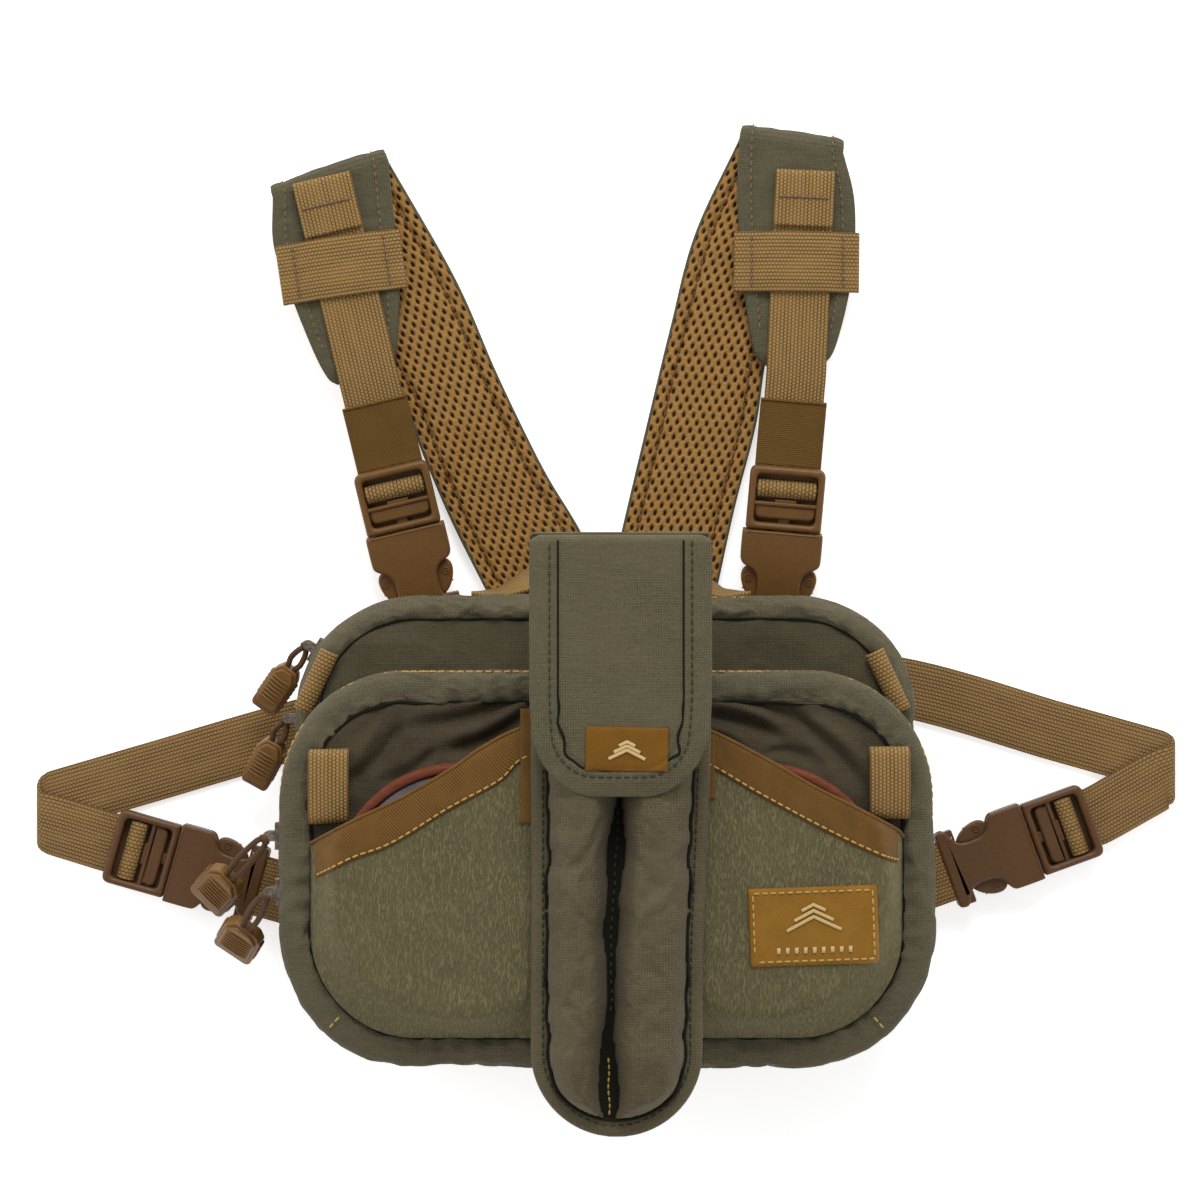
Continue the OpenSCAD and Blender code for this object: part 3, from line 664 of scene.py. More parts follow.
def zip_coil(name, colour):
    """Nylon coil, one ridge for each tooth."""
    f = Finish(name)
    along, _, _ = f.split(f.weave())
    tooth = f.ridge(along, 1.6)
    base = f.mix(f.range(tooth, 0.15, 0.6), shade(colour, 0.35), colour)
    return f.done(base, f.range(tooth, 0.0, 1.0, 0.6, 0.4), tooth, 0.4)


LOOK = {
    "flap": nylon("flap_cloth", (0.126, 0.11, 0.063)),
    "olive": nylon("olive_cloth", (0.124, 0.107, 0.065)),
    # Darker copy of the olive cloth: painted shade on the rear lid's face
    "shade": nylon("rear_panel_painted_shade_cloth", (0.093, 0.08, 0.046), worn=(0.102, 0.09, 0.054)),
    # Darker copy of the olive cloth: painted shade for the front lid's face, recessed under the flap and
    # pouch
    "deep": nylon("front_panel_painted_shade_cloth", (0.076, 0.061, 0.036), worn=(0.096, 0.08, 0.048)),
    # Near-black cloth: painted shadow in the gap between the pouch's tubes, and partly along the pouch's seam
    "valley": nylon("valley_painted_shadow_cloth", (0.016, 0.014, 0.009)),
    "tube": nylon("tube_cloth", (0.128, 0.105, 0.06), sheen=0.08),
    "pad": nylon("pad_cloth", (0.11, 0.097, 0.056)),
    "lining": nylon("lining_cloth", (0.16, 0.11, 0.045)),
    "stretch": stretch_cloth("pocket_cloth", (0.167, 0.145, 0.072)),
    "webbing": webbing("strap_webbing", (0.34, 0.203, 0.069), (0.05, 0.027, 0.009)),
    "strap": webbing("side_webbing", (0.325, 0.193, 0.073), (0.045, 0.025, 0.009)),
    "elastic": twill("sleeve_elastic", (0.145, 0.076, 0.018), (0.112, 0.058, 0.013), 0.9, 0.2),
    "binding": twill("binding_tape", (0.2, 0.1, 0.025), (0.1, 0.048, 0.011), 1.1, 0.9),
    "label": twill("label_twill", (0.35, 0.172, 0.025), (0.21, 0.096, 0.012), 1.2, -1.0),
    "label_small": twill("flap_label_twill", (0.225, 0.103, 0.012), (0.145, 0.062, 0.007), 1.2, -1.0),
    "mesh": spacer_mesh("pad_mesh", (0.36, 0.19, 0.056), (0.02, 0.012, 0.004)),
    "plastic": plastic("buckle_plastic", (0.14, 0.063, 0.012)),
    "plastic_low": plastic("side_buckle_plastic", (0.104, 0.044, 0.012)),
    "grip": plastic("pull_plastic", (0.19, 0.088, 0.018), 1.1, 0.36),
    "cord": webbing("pull_cord", (0.13, 0.066, 0.03), (0.04, 0.02, 0.01), 1.1, 0.7, 0.2),
    "metal": metal("slider_metal", (0.3, 0.24, 0.19)),
    "wood": wood("call_wood", (0.19, 0.052, 0.024), (0.09, 0.024, 0.011)),
    "slate": slate("call_slate", (0.1, 0.088, 0.108)),
    "zip": twill("zip_tape", (0.2, 0.108, 0.032), (0.12, 0.062, 0.017), 0.9, 0.0),
    "coil": zip_coil("zip_coil", (0.2, 0.11, 0.04)),
    "thread_gold": thread("gold_thread", (0.6, 0.39, 0.12)),
    "thread_olive": thread("olive_thread", (0.05, 0.06, 0.036)),
    "thread_brown": thread("brown_thread", (0.22, 0.15, 0.1)),
    "thread_dark": thread("seam_thread", (0.012, 0.01, 0.007)),
    "thread_cream": thread("cream_thread", (0.72, 0.52, 0.24)),
}


# ---------------------------------------------------------------- compartments
def pucker(depth, seam_at, spread, seed, long=11.0):
    """Small gathers that are strongest at a seam: seam_at and spread are shares of the profile."""

    def move(s, t):
        size = np.exp(-(((t - seam_at) / spread) ** 2))
        ripple = waves(s, t * 18, long, seed) + 0.5 * waves(s, t * 9, long * 2.3, seed + 1)
        slack = waves(s, t * 30, 60, seed + 2)
        drift = 0.7 * waves(s, 0 * t, 95, seed + 3) * (1 - t)
        crease = depth * waves(s, t * 9, long * 1.4, seed + 4) * np.exp(-(((t - 0.62) / 0.22) ** 2)) * 0.5
        lift = depth * ripple * size + 0.5 * depth * slack * (1 - size) + crease
        return drift - 0.35 * depth * ripple * size, lift

    return move


def sag_wall(depth, seed):
    """A cloth wall that is not quite even."""

    def move(s, t):
        bulge = np.sin(np.pi * np.clip(t, 0, 1))
        ripple = waves(s, t * 14, 30, seed) + 0.4 * waves(s, t * 10, 11, seed + 1)
        return depth * bulge * (0.5 + 0.5 * ripple), 0 * s * t

    return move


def panel(shape, inset, z, wrinkle, rows=150, count=190):
    """A compartment's face inside its seam."""
    half = shape["half"] - inset
    return columns(
        bunched(-half + 0.05, half - 0.05, count),
        lambda x: column_ends(x, shape, inset)[0],
        lambda x: column_ends(x, shape, inset)[1],
        rows,
        lambda x, y: z + wrinkle(x, y),
    )


def ridges(x, y, lines):
    """Folds in cloth: each line is x1, y1, x2, y2, height, width."""
    total = 0 * x
    for x1, y1, x2, y2, high, wide in lines:
        d = np.array([x2 - x1, y2 - y1])
        size = np.hypot(*d)
        u = ((x - x1) * d[0] + (y - y1) * d[1]) / size**2
        side = ((x - x1) * d[1] - (y - y1) * d[0]) / size + 2.2 * np.sin(3.2 * u)
        fade = step01(u * 4 + 0.5) * step01((1.15 - u) * 2.2)
        total = total + high * fade * np.exp(-((side / (wide * (0.6 + 0.5 * np.clip(u, 0, 1)))) ** 2))
    return total


def rear_face(x, y):
    """Heights of the cloth on the rear lid."""
    folds = [(-100, -12, -60, -18, 0.35, 5), (30, -6, 90, -14, 0.35, 6), (60, -20, 112, -42, 0.4, 6)]
    return 0.25 * waves(x, y, 30, 21) + 0.12 * waves(x, y, 9, 22) + ridges(x, y, folds) - 0.5


def front_face(x, y):
    """Heights of the cloth on the front lid, with folds out from the pouch and into the corners."""
    folds = [
        (-34, -36, -64, -50, 2.4, 3.8), (-33, -46, -58, -62, 2.2, 3.2), (-34, -28, -84, -42, 1.8, 4.4),
        (-33, -41, -66, -57, -4.2, 3.0), (-33, -32, -76, -46, -3.2, 3.4), (-92, -44, -112, -66, 1.8, 3.8),
        (-84, -46, -108, -72, -2.6, 3.6), (-70, -56, -92, -70, -2.4, 3.6), (-60, -26, -100, -30, -1.8, 4.4),
        (41, -36, 70, -46, 2.4, 3.8), (41, -46, 60, -56, 2.2, 3.2), (41, -28, 88, -40, 1.8, 4.4),
        (41, -41, 72, -51, -4.2, 3.0), (41, -32, 80, -42, -3.2, 3.4), (84, -42, 112, -70, 1.8, 3.8),
        (76, -42, 106, -74, -2.8, 3.6), (66, -56, 88, -62, -2.2, 3.6),
    ]
    edge = 1.1 * waves(x, y, 14, 33) * step01((y + 52) / 20) * 0.5
    high = 0.4 * waves(x, y, 34, 31) + 0.16 * waves(x, y, 10, 32) + edge + ridges(x, y, folds)
    return high - 0.5 * np.logaddexp(0, (high - 2.3) / 0.5)


def seam_line(shape, inset, z, seed, wander=0.35):
    """A closed line along a seam, a little uneven."""
    p, n, s = round_line(shape, inset)
    off = wander * waves(s, 0 * s, 16, seed)
    xy = p + n * off[:, None]
    return np.hstack([xy, (z + 0.15 * waves(s, 0 * s, 9, seed + 1))[:, None]])


def along_edge(shape, out, z, foot_y=ZIP_FOOT_Y, inset=0.0, lean=0.0):
    """A line round a compartment's edge above foot_y, and the directions that face out of it."""
    p, n, _ = round_line(shape, inset)
    order = in_order(p[:, 1] > foot_y)
    flat = np.ones((len(order), 1))
    return np.hstack([p[order] + n[order] * out, z * flat]), np.hstack([n[order], lean * flat])


def zip_parts():
    """Two tapes, each with its coil along the inner edge and a row of stitches along the outer one."""
    for name, shape, z, body in (
        ("rear_zip_lower", REAR, (26.8, 29, 31.0), "pack"),
        ("rear_zip_upper", REAR, (31.4, 33.4, 35.6), "rear_lid"),
        ("front_zip_lower", FRONT, (59.8, 62, 64.0), "rear_lid"),
        ("front_zip_upper", FRONT, (64.4, 66.4, 68.6), "front_lid"),
    ):
        tape = rim(shape, list(zip((0.1, 0.3, 0.1), z)), zone="zip", rows=5)
        build(tape, name + "_tape", "zip", body, [name], thick=0.8)
        upper = "upper" in name
        coil_z, sewn_z = (z[0] + 0.85, z[2] - 0.6) if upper else (z[2] - 0.85, z[0] + 0.6)
        build(cord(along_edge(shape, 0.7, coil_z)[0], 0.75, 8), name + "_coil", "coil", body)
        sewn, facing = along_edge(shape, 0.55, sewn_z)
        build(stitches(sewn, facing, 4.0, 2.8), name + "_stitch", "thread_gold", body)


def ruffle(s, t):
    """Small waves across a hinge cloth."""
    return 0.35 * waves(s, t * 8, 14, 49) * np.sin(np.pi * t), 0 * s * t


def hinge_cloths():
    """A strip of cloth along the foot of each lid, fixed in place over its hinge."""
    steps = ((-0.2, -5.2), (0.0, -3), (0.05, -1), (0.05, 1), (0.0, 3), (-0.2, 5.2))
    for name, shape, z, a, b in (("rear", REAR, 31.2, "pack", "rear_lid"),
                                 ("front", FRONT, 64.2, "rear_lid", "front_lid")):
        cloth = rim(shape, [(out, z + up) for out, up in steps], ruffle, "foot", 17)
        bend = (a, b, (0, 0, z - 3), (0, 0, z + 3))
        build(cloth, name + "_hinge_cloth", "olive", bend, thick=1.2)


def rolled_rim(shape, profile, wrinkle, rows, cap):
    """A lid's rolled edge: slack cloth, held along both of its edges."""
    cloth = rim(shape, profile, wrinkle, rows=rows)
    held = np.zeros(rows)
    held[[0, 1, -2, -1]] = 1
    return settle(cloth, np.tile(held, cloth.count // rows), LID_SLACK, cap)


def compartments():
    """Both compartments from the back to the front."""
    def sheet(shape, name, look, body, stands_for=(), thick=1.4):
        build(shape, name, look, body, stands_for, thick=thick)

    shell = rim(REAR, [(-5, 12.2), (-1, 13), (0.4, 18), (0.2, 27)], sag_wall(0.8, 41), rows=14)
    sheet(shell, "rear_shell_wall", "olive", "pack", ["rear_shell"], 1.6)
    floor = panel(REAR, 2, 13.4, lambda x, y: 0.2 * waves(x, y, 40, 43), 60, 90)
    sheet(floor, "rear_shell_floor", "lining", "pack", thick=1.0)
    zip_parts()
    hinge_cloths()

    # Rear lid: wall, rolled edge with a piped seam, and the face the front compartment is sewn to
    profile = [(0.2, 35.2), (0.8, 41), (0.3, 46), (-1.6, 50.0), (-4.6, 51.0), (-7.2, 50.2), (-8.4, 48.9)]
    rear = rolled_rim(REAR, profile, pucker(0.3, 0.97, 0.18, 51), 26, 1.6)
    sheet(rear, "rear_lid_rim", "olive", "rear_lid", ["rear_lid"])
    # The rear lid's face takes the darker cloth, which is painted shade
    sheet(panel(REAR, 8.3, 49.3, rear_face), "rear_lid_face", "shade", "rear_lid")
    seam = cord(seam_line(REAR, 8.4, 48.95, 52, 0.15), 0.55, close=True)
    build(seam, "rear_lid_seam", "thread_dark", "rear_lid")

    # Front compartment: tray and lid
    profile = [(-6, 50.4), (-2, 50.6), (0.2, 52.4), (0.9, 56), (0.2, 60.2)]
    tray = rim(FRONT, profile, sag_wall(0.5, 53), rows=14)
    sheet(tray, "front_tray_wall", "olive", "rear_lid", ["front_tray"])
    floor = panel(FRONT, 3, 51.4, lambda x, y: 0.25 * waves(x, y, 36, 54), 60, 90)
    sheet(floor, "front_tray_floor", "lining", "rear_lid", thick=1.0)
    profile = [(0.2, 68.2), (0.9, 71), (0.6, 73.4), (-1.4, 75.6), (-5.0, 76.5), (-8.8, 75.9), (-11.6, 74.4)]
    lid = rolled_rim(FRONT, profile, pucker(0.6, 0.98, 0.32, 55, 9.5), 30, 0.9)
    sheet(lid, "front_lid_rim", "olive", "front_lid", ["front_lid"])
    face = panel(FRONT, 11.4, 74.2, front_face, 190, 210)
    # The front lid's face takes the darker cloth, which is painted shade for the recess under the flap and
    # pouch
    sheet(face, "front_lid_face", "deep", "front_lid", thick=1.2)
    seam = cord(seam_line(FRONT, 11.7, 74.7, 56, 0.5), 0.75, close=True)
    build(seam, "front_lid_seam", "thread_dark", "front_lid")
    line, facing = along_edge(FRONT, 0, 70.5, ZIP_FOOT_Y + 20, -0.75, 0.5)
    build(stitches(line, facing, 3.8, 2.9, GOLD_R), "front_lid_stitch", "thread_gold", "front_lid")
    darts = Shape()
    for side in (-1, 1):
        dart = [(side * 107.5, -162.5, 76.3), (side * 110.8, -166.2, 77.0), (side * 113.4, -169.0, 75.4)]
        darts.join(stitches(smooth(dart, 0.5), UP, 3.4, 2.5, GOLD_R, 0.5))
    build(darts, "front_lid_darts", "thread_gold", "front_lid")


# ---------------------------------------------------------------- call pockets
LEFT_MOUTH = [(-121, -94), (-103, -84), (-83, -74.5), (-63, -63), (-50, -54), (-34, -46), (-10, -40),
              (2, -38)]
RIGHT_MOUTH = [(2, -38), (20, -41), (41, -47), (63, -58), (83, -69.5), (100, -78), (118, -88), (121, -93)]
LEFT_HEM = [(-121, -109), (-103, -99.5), (-86, -93), (-63, -79), (-43, -68), (-33, -59), (-10, -53), (2, -51)]
RIGHT_HEM = [(2, -51), (20, -54), (40, -61), (61, -73), (87, -87), (107, -96.5), (121, -102)]


def line_y(points):
    """The height of a smooth line at x."""
    p = smooth(points, 1.0)
    return lambda x: np.interp(x, p[:, 0], p[:, 1])


MOUTH = line_y(LEFT_MOUTH[:-1] + RIGHT_MOUTH)
HEM = line_y(LEFT_HEM[:-1] + RIGHT_HEM)
SEAM_INSET, SEAM_Z = 11.8, 75.6


def relaxed_skin(step=2.0):
    """Heights of cloth stretched over both calls and sewn down round the foot of the panel."""
    xs, ys = np.arange(-122, 122.1, step), np.arange(-176, -33.9, step)
    x, y = np.meshgrid(xs, ys, indexing="ij")
    low, _ = column_ends(x, FRONT, SEAM_INSET)
    sewn = (np.abs(x) > FRONT["half"] - SEAM_INSET - 0.5) | (y < low + 0.5)
    top = CALL_Z + CALL_T + 0.6
    over = np.full_like(x, 75.4)
    for (cx, cy), side in zip(CALLS, (1, -1)):
        r = np.hypot(x - cx, y - cy)
        over = np.where(r < CALL_R + 1, top - 0.5 * step01((r - CALL_R + 3) / 4), over)
        for out in (9, 18, 27, 36):
            r = np.hypot(x - cx - side * 0.259 * out, y - cy - 0.966 * out)
            over = np.where(r < CALL_R + 1.5, top, over)
    z = np.where(sewn, SEAM_Z, 86.0)
    for _ in range(SKIN_PASSES):
        wide = np.pad(z, 1, mode="edge")
        mean = 0.25 * (wide[2:, 1:-1] + wide[:-2, 1:-1] + wide[1:-1, 2:] + wide[1:-1, :-2])
        z = np.maximum(mean, over)
        z = np.where(sewn, SEAM_Z, z)
    wide = np.pad(z, 1, mode="edge")
    z = 0.4 * z + 0.15 * (wide[2:, 1:-1] + wide[:-2, 1:-1] + wide[1:-1, 2:] + wide[1:-1, :-2])

    def height(px, py):
        u = np.clip((px - xs[0]) / step, 0, len(xs) - 1.001)
        v = np.clip((py - ys[0]) / step, 0, len(ys) - 1.001)
        i, j = u.astype(int), v.astype(int)
        a, b = u - i, v - j
        return ((1 - a) * (1 - b) * z[i, j] + a * (1 - b) * z[i + 1, j]
                + (1 - a) * b * z[i, j + 1] + a * b * z[i + 1, j + 1])

    return height


SKIN = relaxed_skin()


def pocket_height(x, y):
    """The pocket cloth, rippled along its seam."""
    edge = np.minimum(FRONT["half"] - SEAM_INSET - np.abs(x), y - column_ends(x, FRONT, SEAM_INSET)[0])
    ripple = 0.5 * waves(x, y, 8, 61) * np.exp(-np.clip(edge, 0, 99) / 4)
    return SKIN(x, y) + 0.9 + ripple + 0.12 * waves(x, y, 26, 62)


def pocket_parts():
    """Pocket cloth, the binding along each mouth, and the strips beside the pouch."""
    half = FRONT["half"] - SEAM_INSET

    def low(x):
        return column_ends(np.asarray(x), FRONT, SEAM_INSET)[0]

    for name, x1, x2 in (("pocket_left", -half + 0.1, 1.5), ("pocket_right", 2.0, half - 0.1)):
        skin = columns(np.linspace(x1, x2, 92), low, lambda x: MOUTH(x) - 0.5, 100, pocket_height)
        build(skin, name + "_skin", "stretch", "front_lid", [name], thick=1.0)
    for name, x1, x2 in (("left", -half - 0.2, -29.0), ("right", 36.0, half + 0.2)):
        xs = np.linspace(x1, x2, 70)
        top, bottom = MOUTH(xs) + 0.4, HEM(xs)
        v = np.linspace(0, 1, 12)[None]
        x = xs[:, None] + 0 * v
        y = bottom[:, None] + (top - bottom)[:, None] * v
        puff = 0.7 * np.sqrt(np.clip(1 - np.abs(2 * v - 1) ** 6, 0, 1))
        turn = 3.0 * step01((np.abs(x) - half + 3.5) / 3.7)
        z = pocket_height(x, y) + 0.35 + puff - turn
        lay = xyz(lengths(xyz(xs, top))[:, None], v * 13.0, 0.0)
        build(grid(xyz(x, y, z), lay, flip=True), "binding_" + name, "binding", "front_lid",
              ["pocket_bindings"] if name == "left" else (), thick=1.0)
        y = bottom + 1.5
        line = xyz(xs, y, pocket_height(xs, y) + 1.05)[2:-2]
        build(stitches(line, UP, 3.3, 2.4, GOLD_R), "binding_stitch_" + name, "thread_gold", "front_lid")
        lip = xyz(xs, MOUTH(xs) + 0.3, pocket_height(xs, MOUTH(xs)) + 0.2)
        build(tube(lip, 0.8, 8), "binding_lip_" + name, "binding", "front_lid")
    strips = Shape()
    for x1, x2, y1, y2 in ((-34.5, -29.5, -84, -38), (39.0, 43.5, -74, -48)):
        x, y = np.meshgrid(np.linspace(x1, x2, 5), np.linspace(y1, y2, 30), indexing="ij")
        z = np.maximum(pocket_height(x, y), 93.4) + 1.2
        strips.join(grid(xyz(x, y, z), xyz(y, x, 0.0), flip=True))
    build(strips, "pouch_side_strips", "binding", "front_lid", thick=1.0)


def calls():
    """Round calls: a turned wooden cup with a slate set in it."""
    for i, side in enumerate(("left", "right")):
        top = CALL_Z + CALL_T
        cup = [(0.2, CALL_Z), (CALL_R - 2, CALL_Z), (CALL_R - 0.5, CALL_Z + 0.8), (CALL_R, CALL_Z + 2.5),
               (CALL_R, top - 2.2), (CALL_R - 0.5, top - 0.7), (CALL_R - 1.8, top), (SLATE_R + 1.2, top),
               (SLATE_R + 0.35, top - 0.3), (SLATE_R, top - 0.9), (SLATE_R, top - 2.9), (0.2, top - 2.9)]
        body = "call_" + side
        build(lathe(cup, CALLS[i]), "call_cup_" + side, "wood", body, [body])
        face = [(0.2, top - 1.1), (30, top - 1.1), (SLATE_R - 1.0, top - 1.1), (SLATE_R - 0.35, top - 1.4),
                (SLATE_R - 0.3, top - 2.8)]
        build(lathe(face, CALLS[i]), "call_slate_" + side, "slate", body, ["slate_" + side])


# ---------------------------------------------------------------- pouch and flap
POUCH_MID = (POUCH["left"] + POUCH["right"]) / 2
POUCH_R = 35
VALLEY_X = 4.2
HEM_W = 7.5


def valley(y):
    """Where the gap between the tubes runs, and half its width: it opens and closes on the way down."""
    down = -np.asarray(y, float)
    x = np.interp(down, (72, 85, 110, 130, 155, 170, 205), (1.2, 0.2, -1.3, -2.6, -2.2, -3.8, -2.8))
    at = (70, 80, 94, 104, 114, 126, 137, 152, 165, 182, 195, 204)
    halves = (0.8, 1.9, 4.2, 3.2, 2.3, 3.4, 2.0, 1.5, 2.0, 3.8, 4.4, 1.0)
    half = 0.25 * sum(np.interp(down + shift, at, halves) for shift in (-3, -1, 1, 3))
    return VALLEY_X + x, half


def pouch_inside(x, y):
    """Distance inside the pouch's outline, which narrows a little on the right and ends round."""
    right = POUCH["right"] + 0.8 - 3.4 * step01((-40 - y) / 120)
    left = POUCH["left"] + 0.2
    mid, r = (left + right) / 2, (right - left) / 2
    cy = POUCH["low"] + r
    side = np.minimum(x - left, right - x)
    low = r - np.hypot(x - mid, np.minimum(y - cy, 0))
    return np.where(y > cy, side, low), left, right


def hem_wander(y):
    """How far the tubes' outer seam strays inwards."""
    return 0.6 * waves(y, 0 * y, 15, 71) + 0.45 * waves(y, 0 * y, 36, 72)


def pouch_height(x, y):
    """The pouch: a flat hem and two full tubes either side of a gap."""
    inside, _, _ = pouch_inside(x, y)
    edge = inside - HEM_W - hem_wander(y)
    gap_x, gap_half = valley(y)
    from_valley = np.abs(x - gap_x) - gap_half
    hem = 97.4 + 2.6 * np.sqrt(np.clip(1 - np.abs((inside - 4.6) / 4.7) ** 2.2, 0, 1))
    q = np.clip(np.minimum(edge / 11.5, from_valley / 10.5), 0, 1)
    full = 13 + 6.6 * step01((y + 207) / 34)
    tube_z = 98.0 + full * np.sqrt(np.clip(1 - (1 - q) ** 2.1, 0, 1))
    folds = [(0, -78, -16, -104, -1.1, 3.5), (6, -92, 20, -112, -1.2, 3.5), (-3, -122, -18, -96, 0.9, 4),
             (8, -130, 24, -110, 0.8, 4), (-4, -165, -16, -140, 0.8, 4), (7, -170, 20, -150, -0.8, 4)]
    soft = np.clip(q, 0, 1) * (0.32 * waves(x * 1.6, y, 34, 74) + ridges(x, y, folds))
    soft = soft + 0.35 * waves(y, x * 0.3, 12, 75) * np.exp(-((edge - 2) / 2.5) ** 2)
    return np.where(edge > 0, tube_z + soft * step01(edge / 3), hem)


def pouch_parts():
    """Back, the two tubes sewn on it, and the stitches and gap between them; the gap's near-black tape is
    painted shadow.
    """
    back = columns(
        bunched(POUCH["left"] + 1, POUCH["right"] - 3, 60),
        lambda x: POUCH["low"] + POUCH_R + 1 - np.sqrt(np.clip(34.5**2 - (x - POUCH_MID + 1) ** 2, 0, None)),
        lambda x: 0 * x + POUCH["top"] + 0.6, 120,
        lambda x, y: 97.2 + 0.1 * waves(x, y, 20, 76) - 0.7 * step01((y - 27) / 3))
    build(back, "pouch_back_panel", "olive", "front_lid", ["pouch_back", "pouch_patch"],
          thick=1.2)
    # Each row is split where the gap between the tubes runs
    rows = bunched(POUCH["low"] + 0.15, POUCH["top"] - 1.5, 235)
    x = []
    for row in rows:
        _, left, right = pouch_inside(0.0, row)
        mid, r = (left + right) / 2, (right - left) / 2
        cy = POUCH["low"] + r
        half = r if row > cy else math.sqrt(max(r * r - (row - cy) ** 2, 0.01))
        split = np.clip(valley(row)[0], mid - half * 0.6, mid + half * 0.6)
        x.append(np.hstack([np.linspace(mid - half, split, 42, endpoint=False),
                            np.linspace(split, mid + half, 43)]))
    x, y = np.broadcast_arrays(np.array(x), rows[:, None])
    front = grid(xyz(x, y, pouch_height(x, y)), xyz(y, x, 0.0))
    inside = np.clip(pouch_inside(x, y)[0] - HEM_W - 1.0, 0, 3) / 3
    gap_x, gap_half = valley(y)
    open_gap = np.clip(np.abs(x - gap_x) - gap_half - 1.0, 0, 3) / 3
    front = settle(front, 1 - np.minimum(inside, open_gap), 0.022, 2.0, pressure=0.05)
    build(front, "pouch_front", "tube", "front_lid", ["pouch_tubes"], thick=1.0)

    def inset_line(inset, lift, y_top):
        """A line that far inside the pouch's outline, up one side and down the other."""
        ys = np.linspace(y_top, -172, 60)
        _, left, right = pouch_inside(0.0, ys)
        left, right = left + inset, right - inset
        mid, r = (left + right[-1]) / 2, (right[-1] - left) / 2
        a = np.radians(np.linspace(180, 360, 70))
        bend = xyz(mid + r * np.cos(a), POUCH["low"] + inset + r + r * np.sin(a))
        x, y = even(np.vstack([xyz(left, ys), bend, xyz(right, ys)[::-1]]), 1.0).T
        return xyz(x, y, pouch_height(x, y) + lift)

    build(stitches(inset_line(4.9, 0.0, -60), UP, 3.4, 2.4, 0.4, 0.3), "pouch_stitch", "thread_olive",
          "front_lid")
    # The near-black seam cord is partly the seam itself and partly painted shadow along it
    seam = inset_line(6.9, 0.5, 20)
    centre = xyz(POUCH_MID, np.maximum(seam[:, 1], POUCH["low"] + POUCH_R))
    seam[:, :2] -= unit(seam[:, :2] - centre) * hem_wander(seam[:, 1])[:, None]
    build(cord(seam, 0.8, 8), "pouch_seam_and_painted_shadow", "valley", "front_lid")
    # A near-black tape along the gap between the tubes: painted shadow
    ys = np.linspace(-70, -202, 90)[None]
    v = np.linspace(-1, 1, 7)[:, None]
    gap_x, gap_half = valley(ys)
    xs = gap_x + (gap_half + 0.8) * v
    tape = grid(xyz(xs, ys, 98.7 + 0.5 * np.abs(v)), xyz(ys, xs, 0.0), flip=True)
    build(tape, "valley_painted_shadow_tape", "valley", "front_lid", thick=0.4)
    for name, y1, y2, pitch, length, look in (
        ("valley_stitch", -76, -160, 3.6, 2.2, "thread_olive"),
        ("valley_foot_stitch", -176, -201, 2.6, 2.0, "thread_gold"),
    ):
        ys = np.linspace(y1, y2, 60)
        middle = xyz(valley(ys)[0] + 0.3 * waves(ys, 0 * ys, 12, 78), ys, 99.1)
        build(stitches(middle, UP, pitch, length, GOLD_R, 0.4), name, look, "front_lid")


FLAP_LOW, FLAP_R = -72, 26


def flap_sides(y, inset=0.0):
    """The flap's left and right edges, or lines inside them: it narrows a little towards its tip."""
    narrow = step01((-30 - y) / 40)
    return POUCH["left"] + 2.2 * narrow + inset, POUCH["right"] + 0.6 - 2.6 * narrow - inset


def flap_inside(x, y):
    """Distance inside the flap's outline."""
    left, right = flap_sides(y)
    mid, half = (left + right) / 2, (right - left) / 2
    dx, dy = np.abs(x - mid) - (half - FLAP_R), (FLAP_LOW + FLAP_R) - y
    return FLAP_R - np.where((dx > 0) & (dy > 0), np.hypot(dx, dy), np.maximum(dx, dy))


def flap_height(x, y):
    """The flap: hem, stitched groove, and the tubes that press through it."""
    inside = flap_inside(x, y)
    wander = 0.7 * waves(y + 0.4 * x, x * 0.2, 12, 81) * step01((-20 - y) / 30)
    hem = 0.9 * np.sqrt(np.clip(1 - np.abs((inside - 5.4) / 5.6) ** 3, 0, 1))
    groove = -0.8 * np.exp(-(((inside - 11.2 - wander) / 0.8) ** 2))
    row = -0.35 * np.exp(-(((inside - 8.0) / 0.7) ** 2))
    drop = -2.6 * (np.abs(x - POUCH_MID) / 36) ** 3.2 - 1.6 * step01((8 - inside) / 8)
    over = 0.5 * np.exp(-(((x + 11) / 8) ** 2)) + 0.5 * np.exp(-(((x - 18) / 8) ** 2))
    soft = 0.16 * waves(x, y, 26, 82) + 0.25 * waves(x, y, 12, 83) * step01((-40 - y) / 20)
    return 120.3 + hem + groove + row + drop + over * step01((-10 - y) / 40) + soft


def flap_line(inset, lift, wander=0.0):
    """A line that far inside the flap's outline, down its left side, round its tip and up again."""
    ys = np.linspace(29, FLAP_LOW + FLAP_R, 50)
    left, right = flap_sides(ys, inset)
    k = FLAP_R - inset
    a = np.radians(np.linspace(180, 270, 30))
    down, across = FLAP_LOW + FLAP_R + k * np.sin(a), k * np.cos(a)
    x, y = even(np.vstack([xyz(left, ys), xyz(left[-1] + k + across, down),
                           xyz(right[-1] - k - across, down)[::-1], xyz(right, ys)[::-1]]), 1.0).T
    s = lengths(xyz(x, y))
    x = x + wander * waves(s, 0 * s, 12, 84) * step01((-25 - y) / 20)
    y = y + wander * waves(s, 0 * s, 10, 85) * step01((-50 - y) / 10)
    return xyz(x, y, flap_height(x, y) + lift)


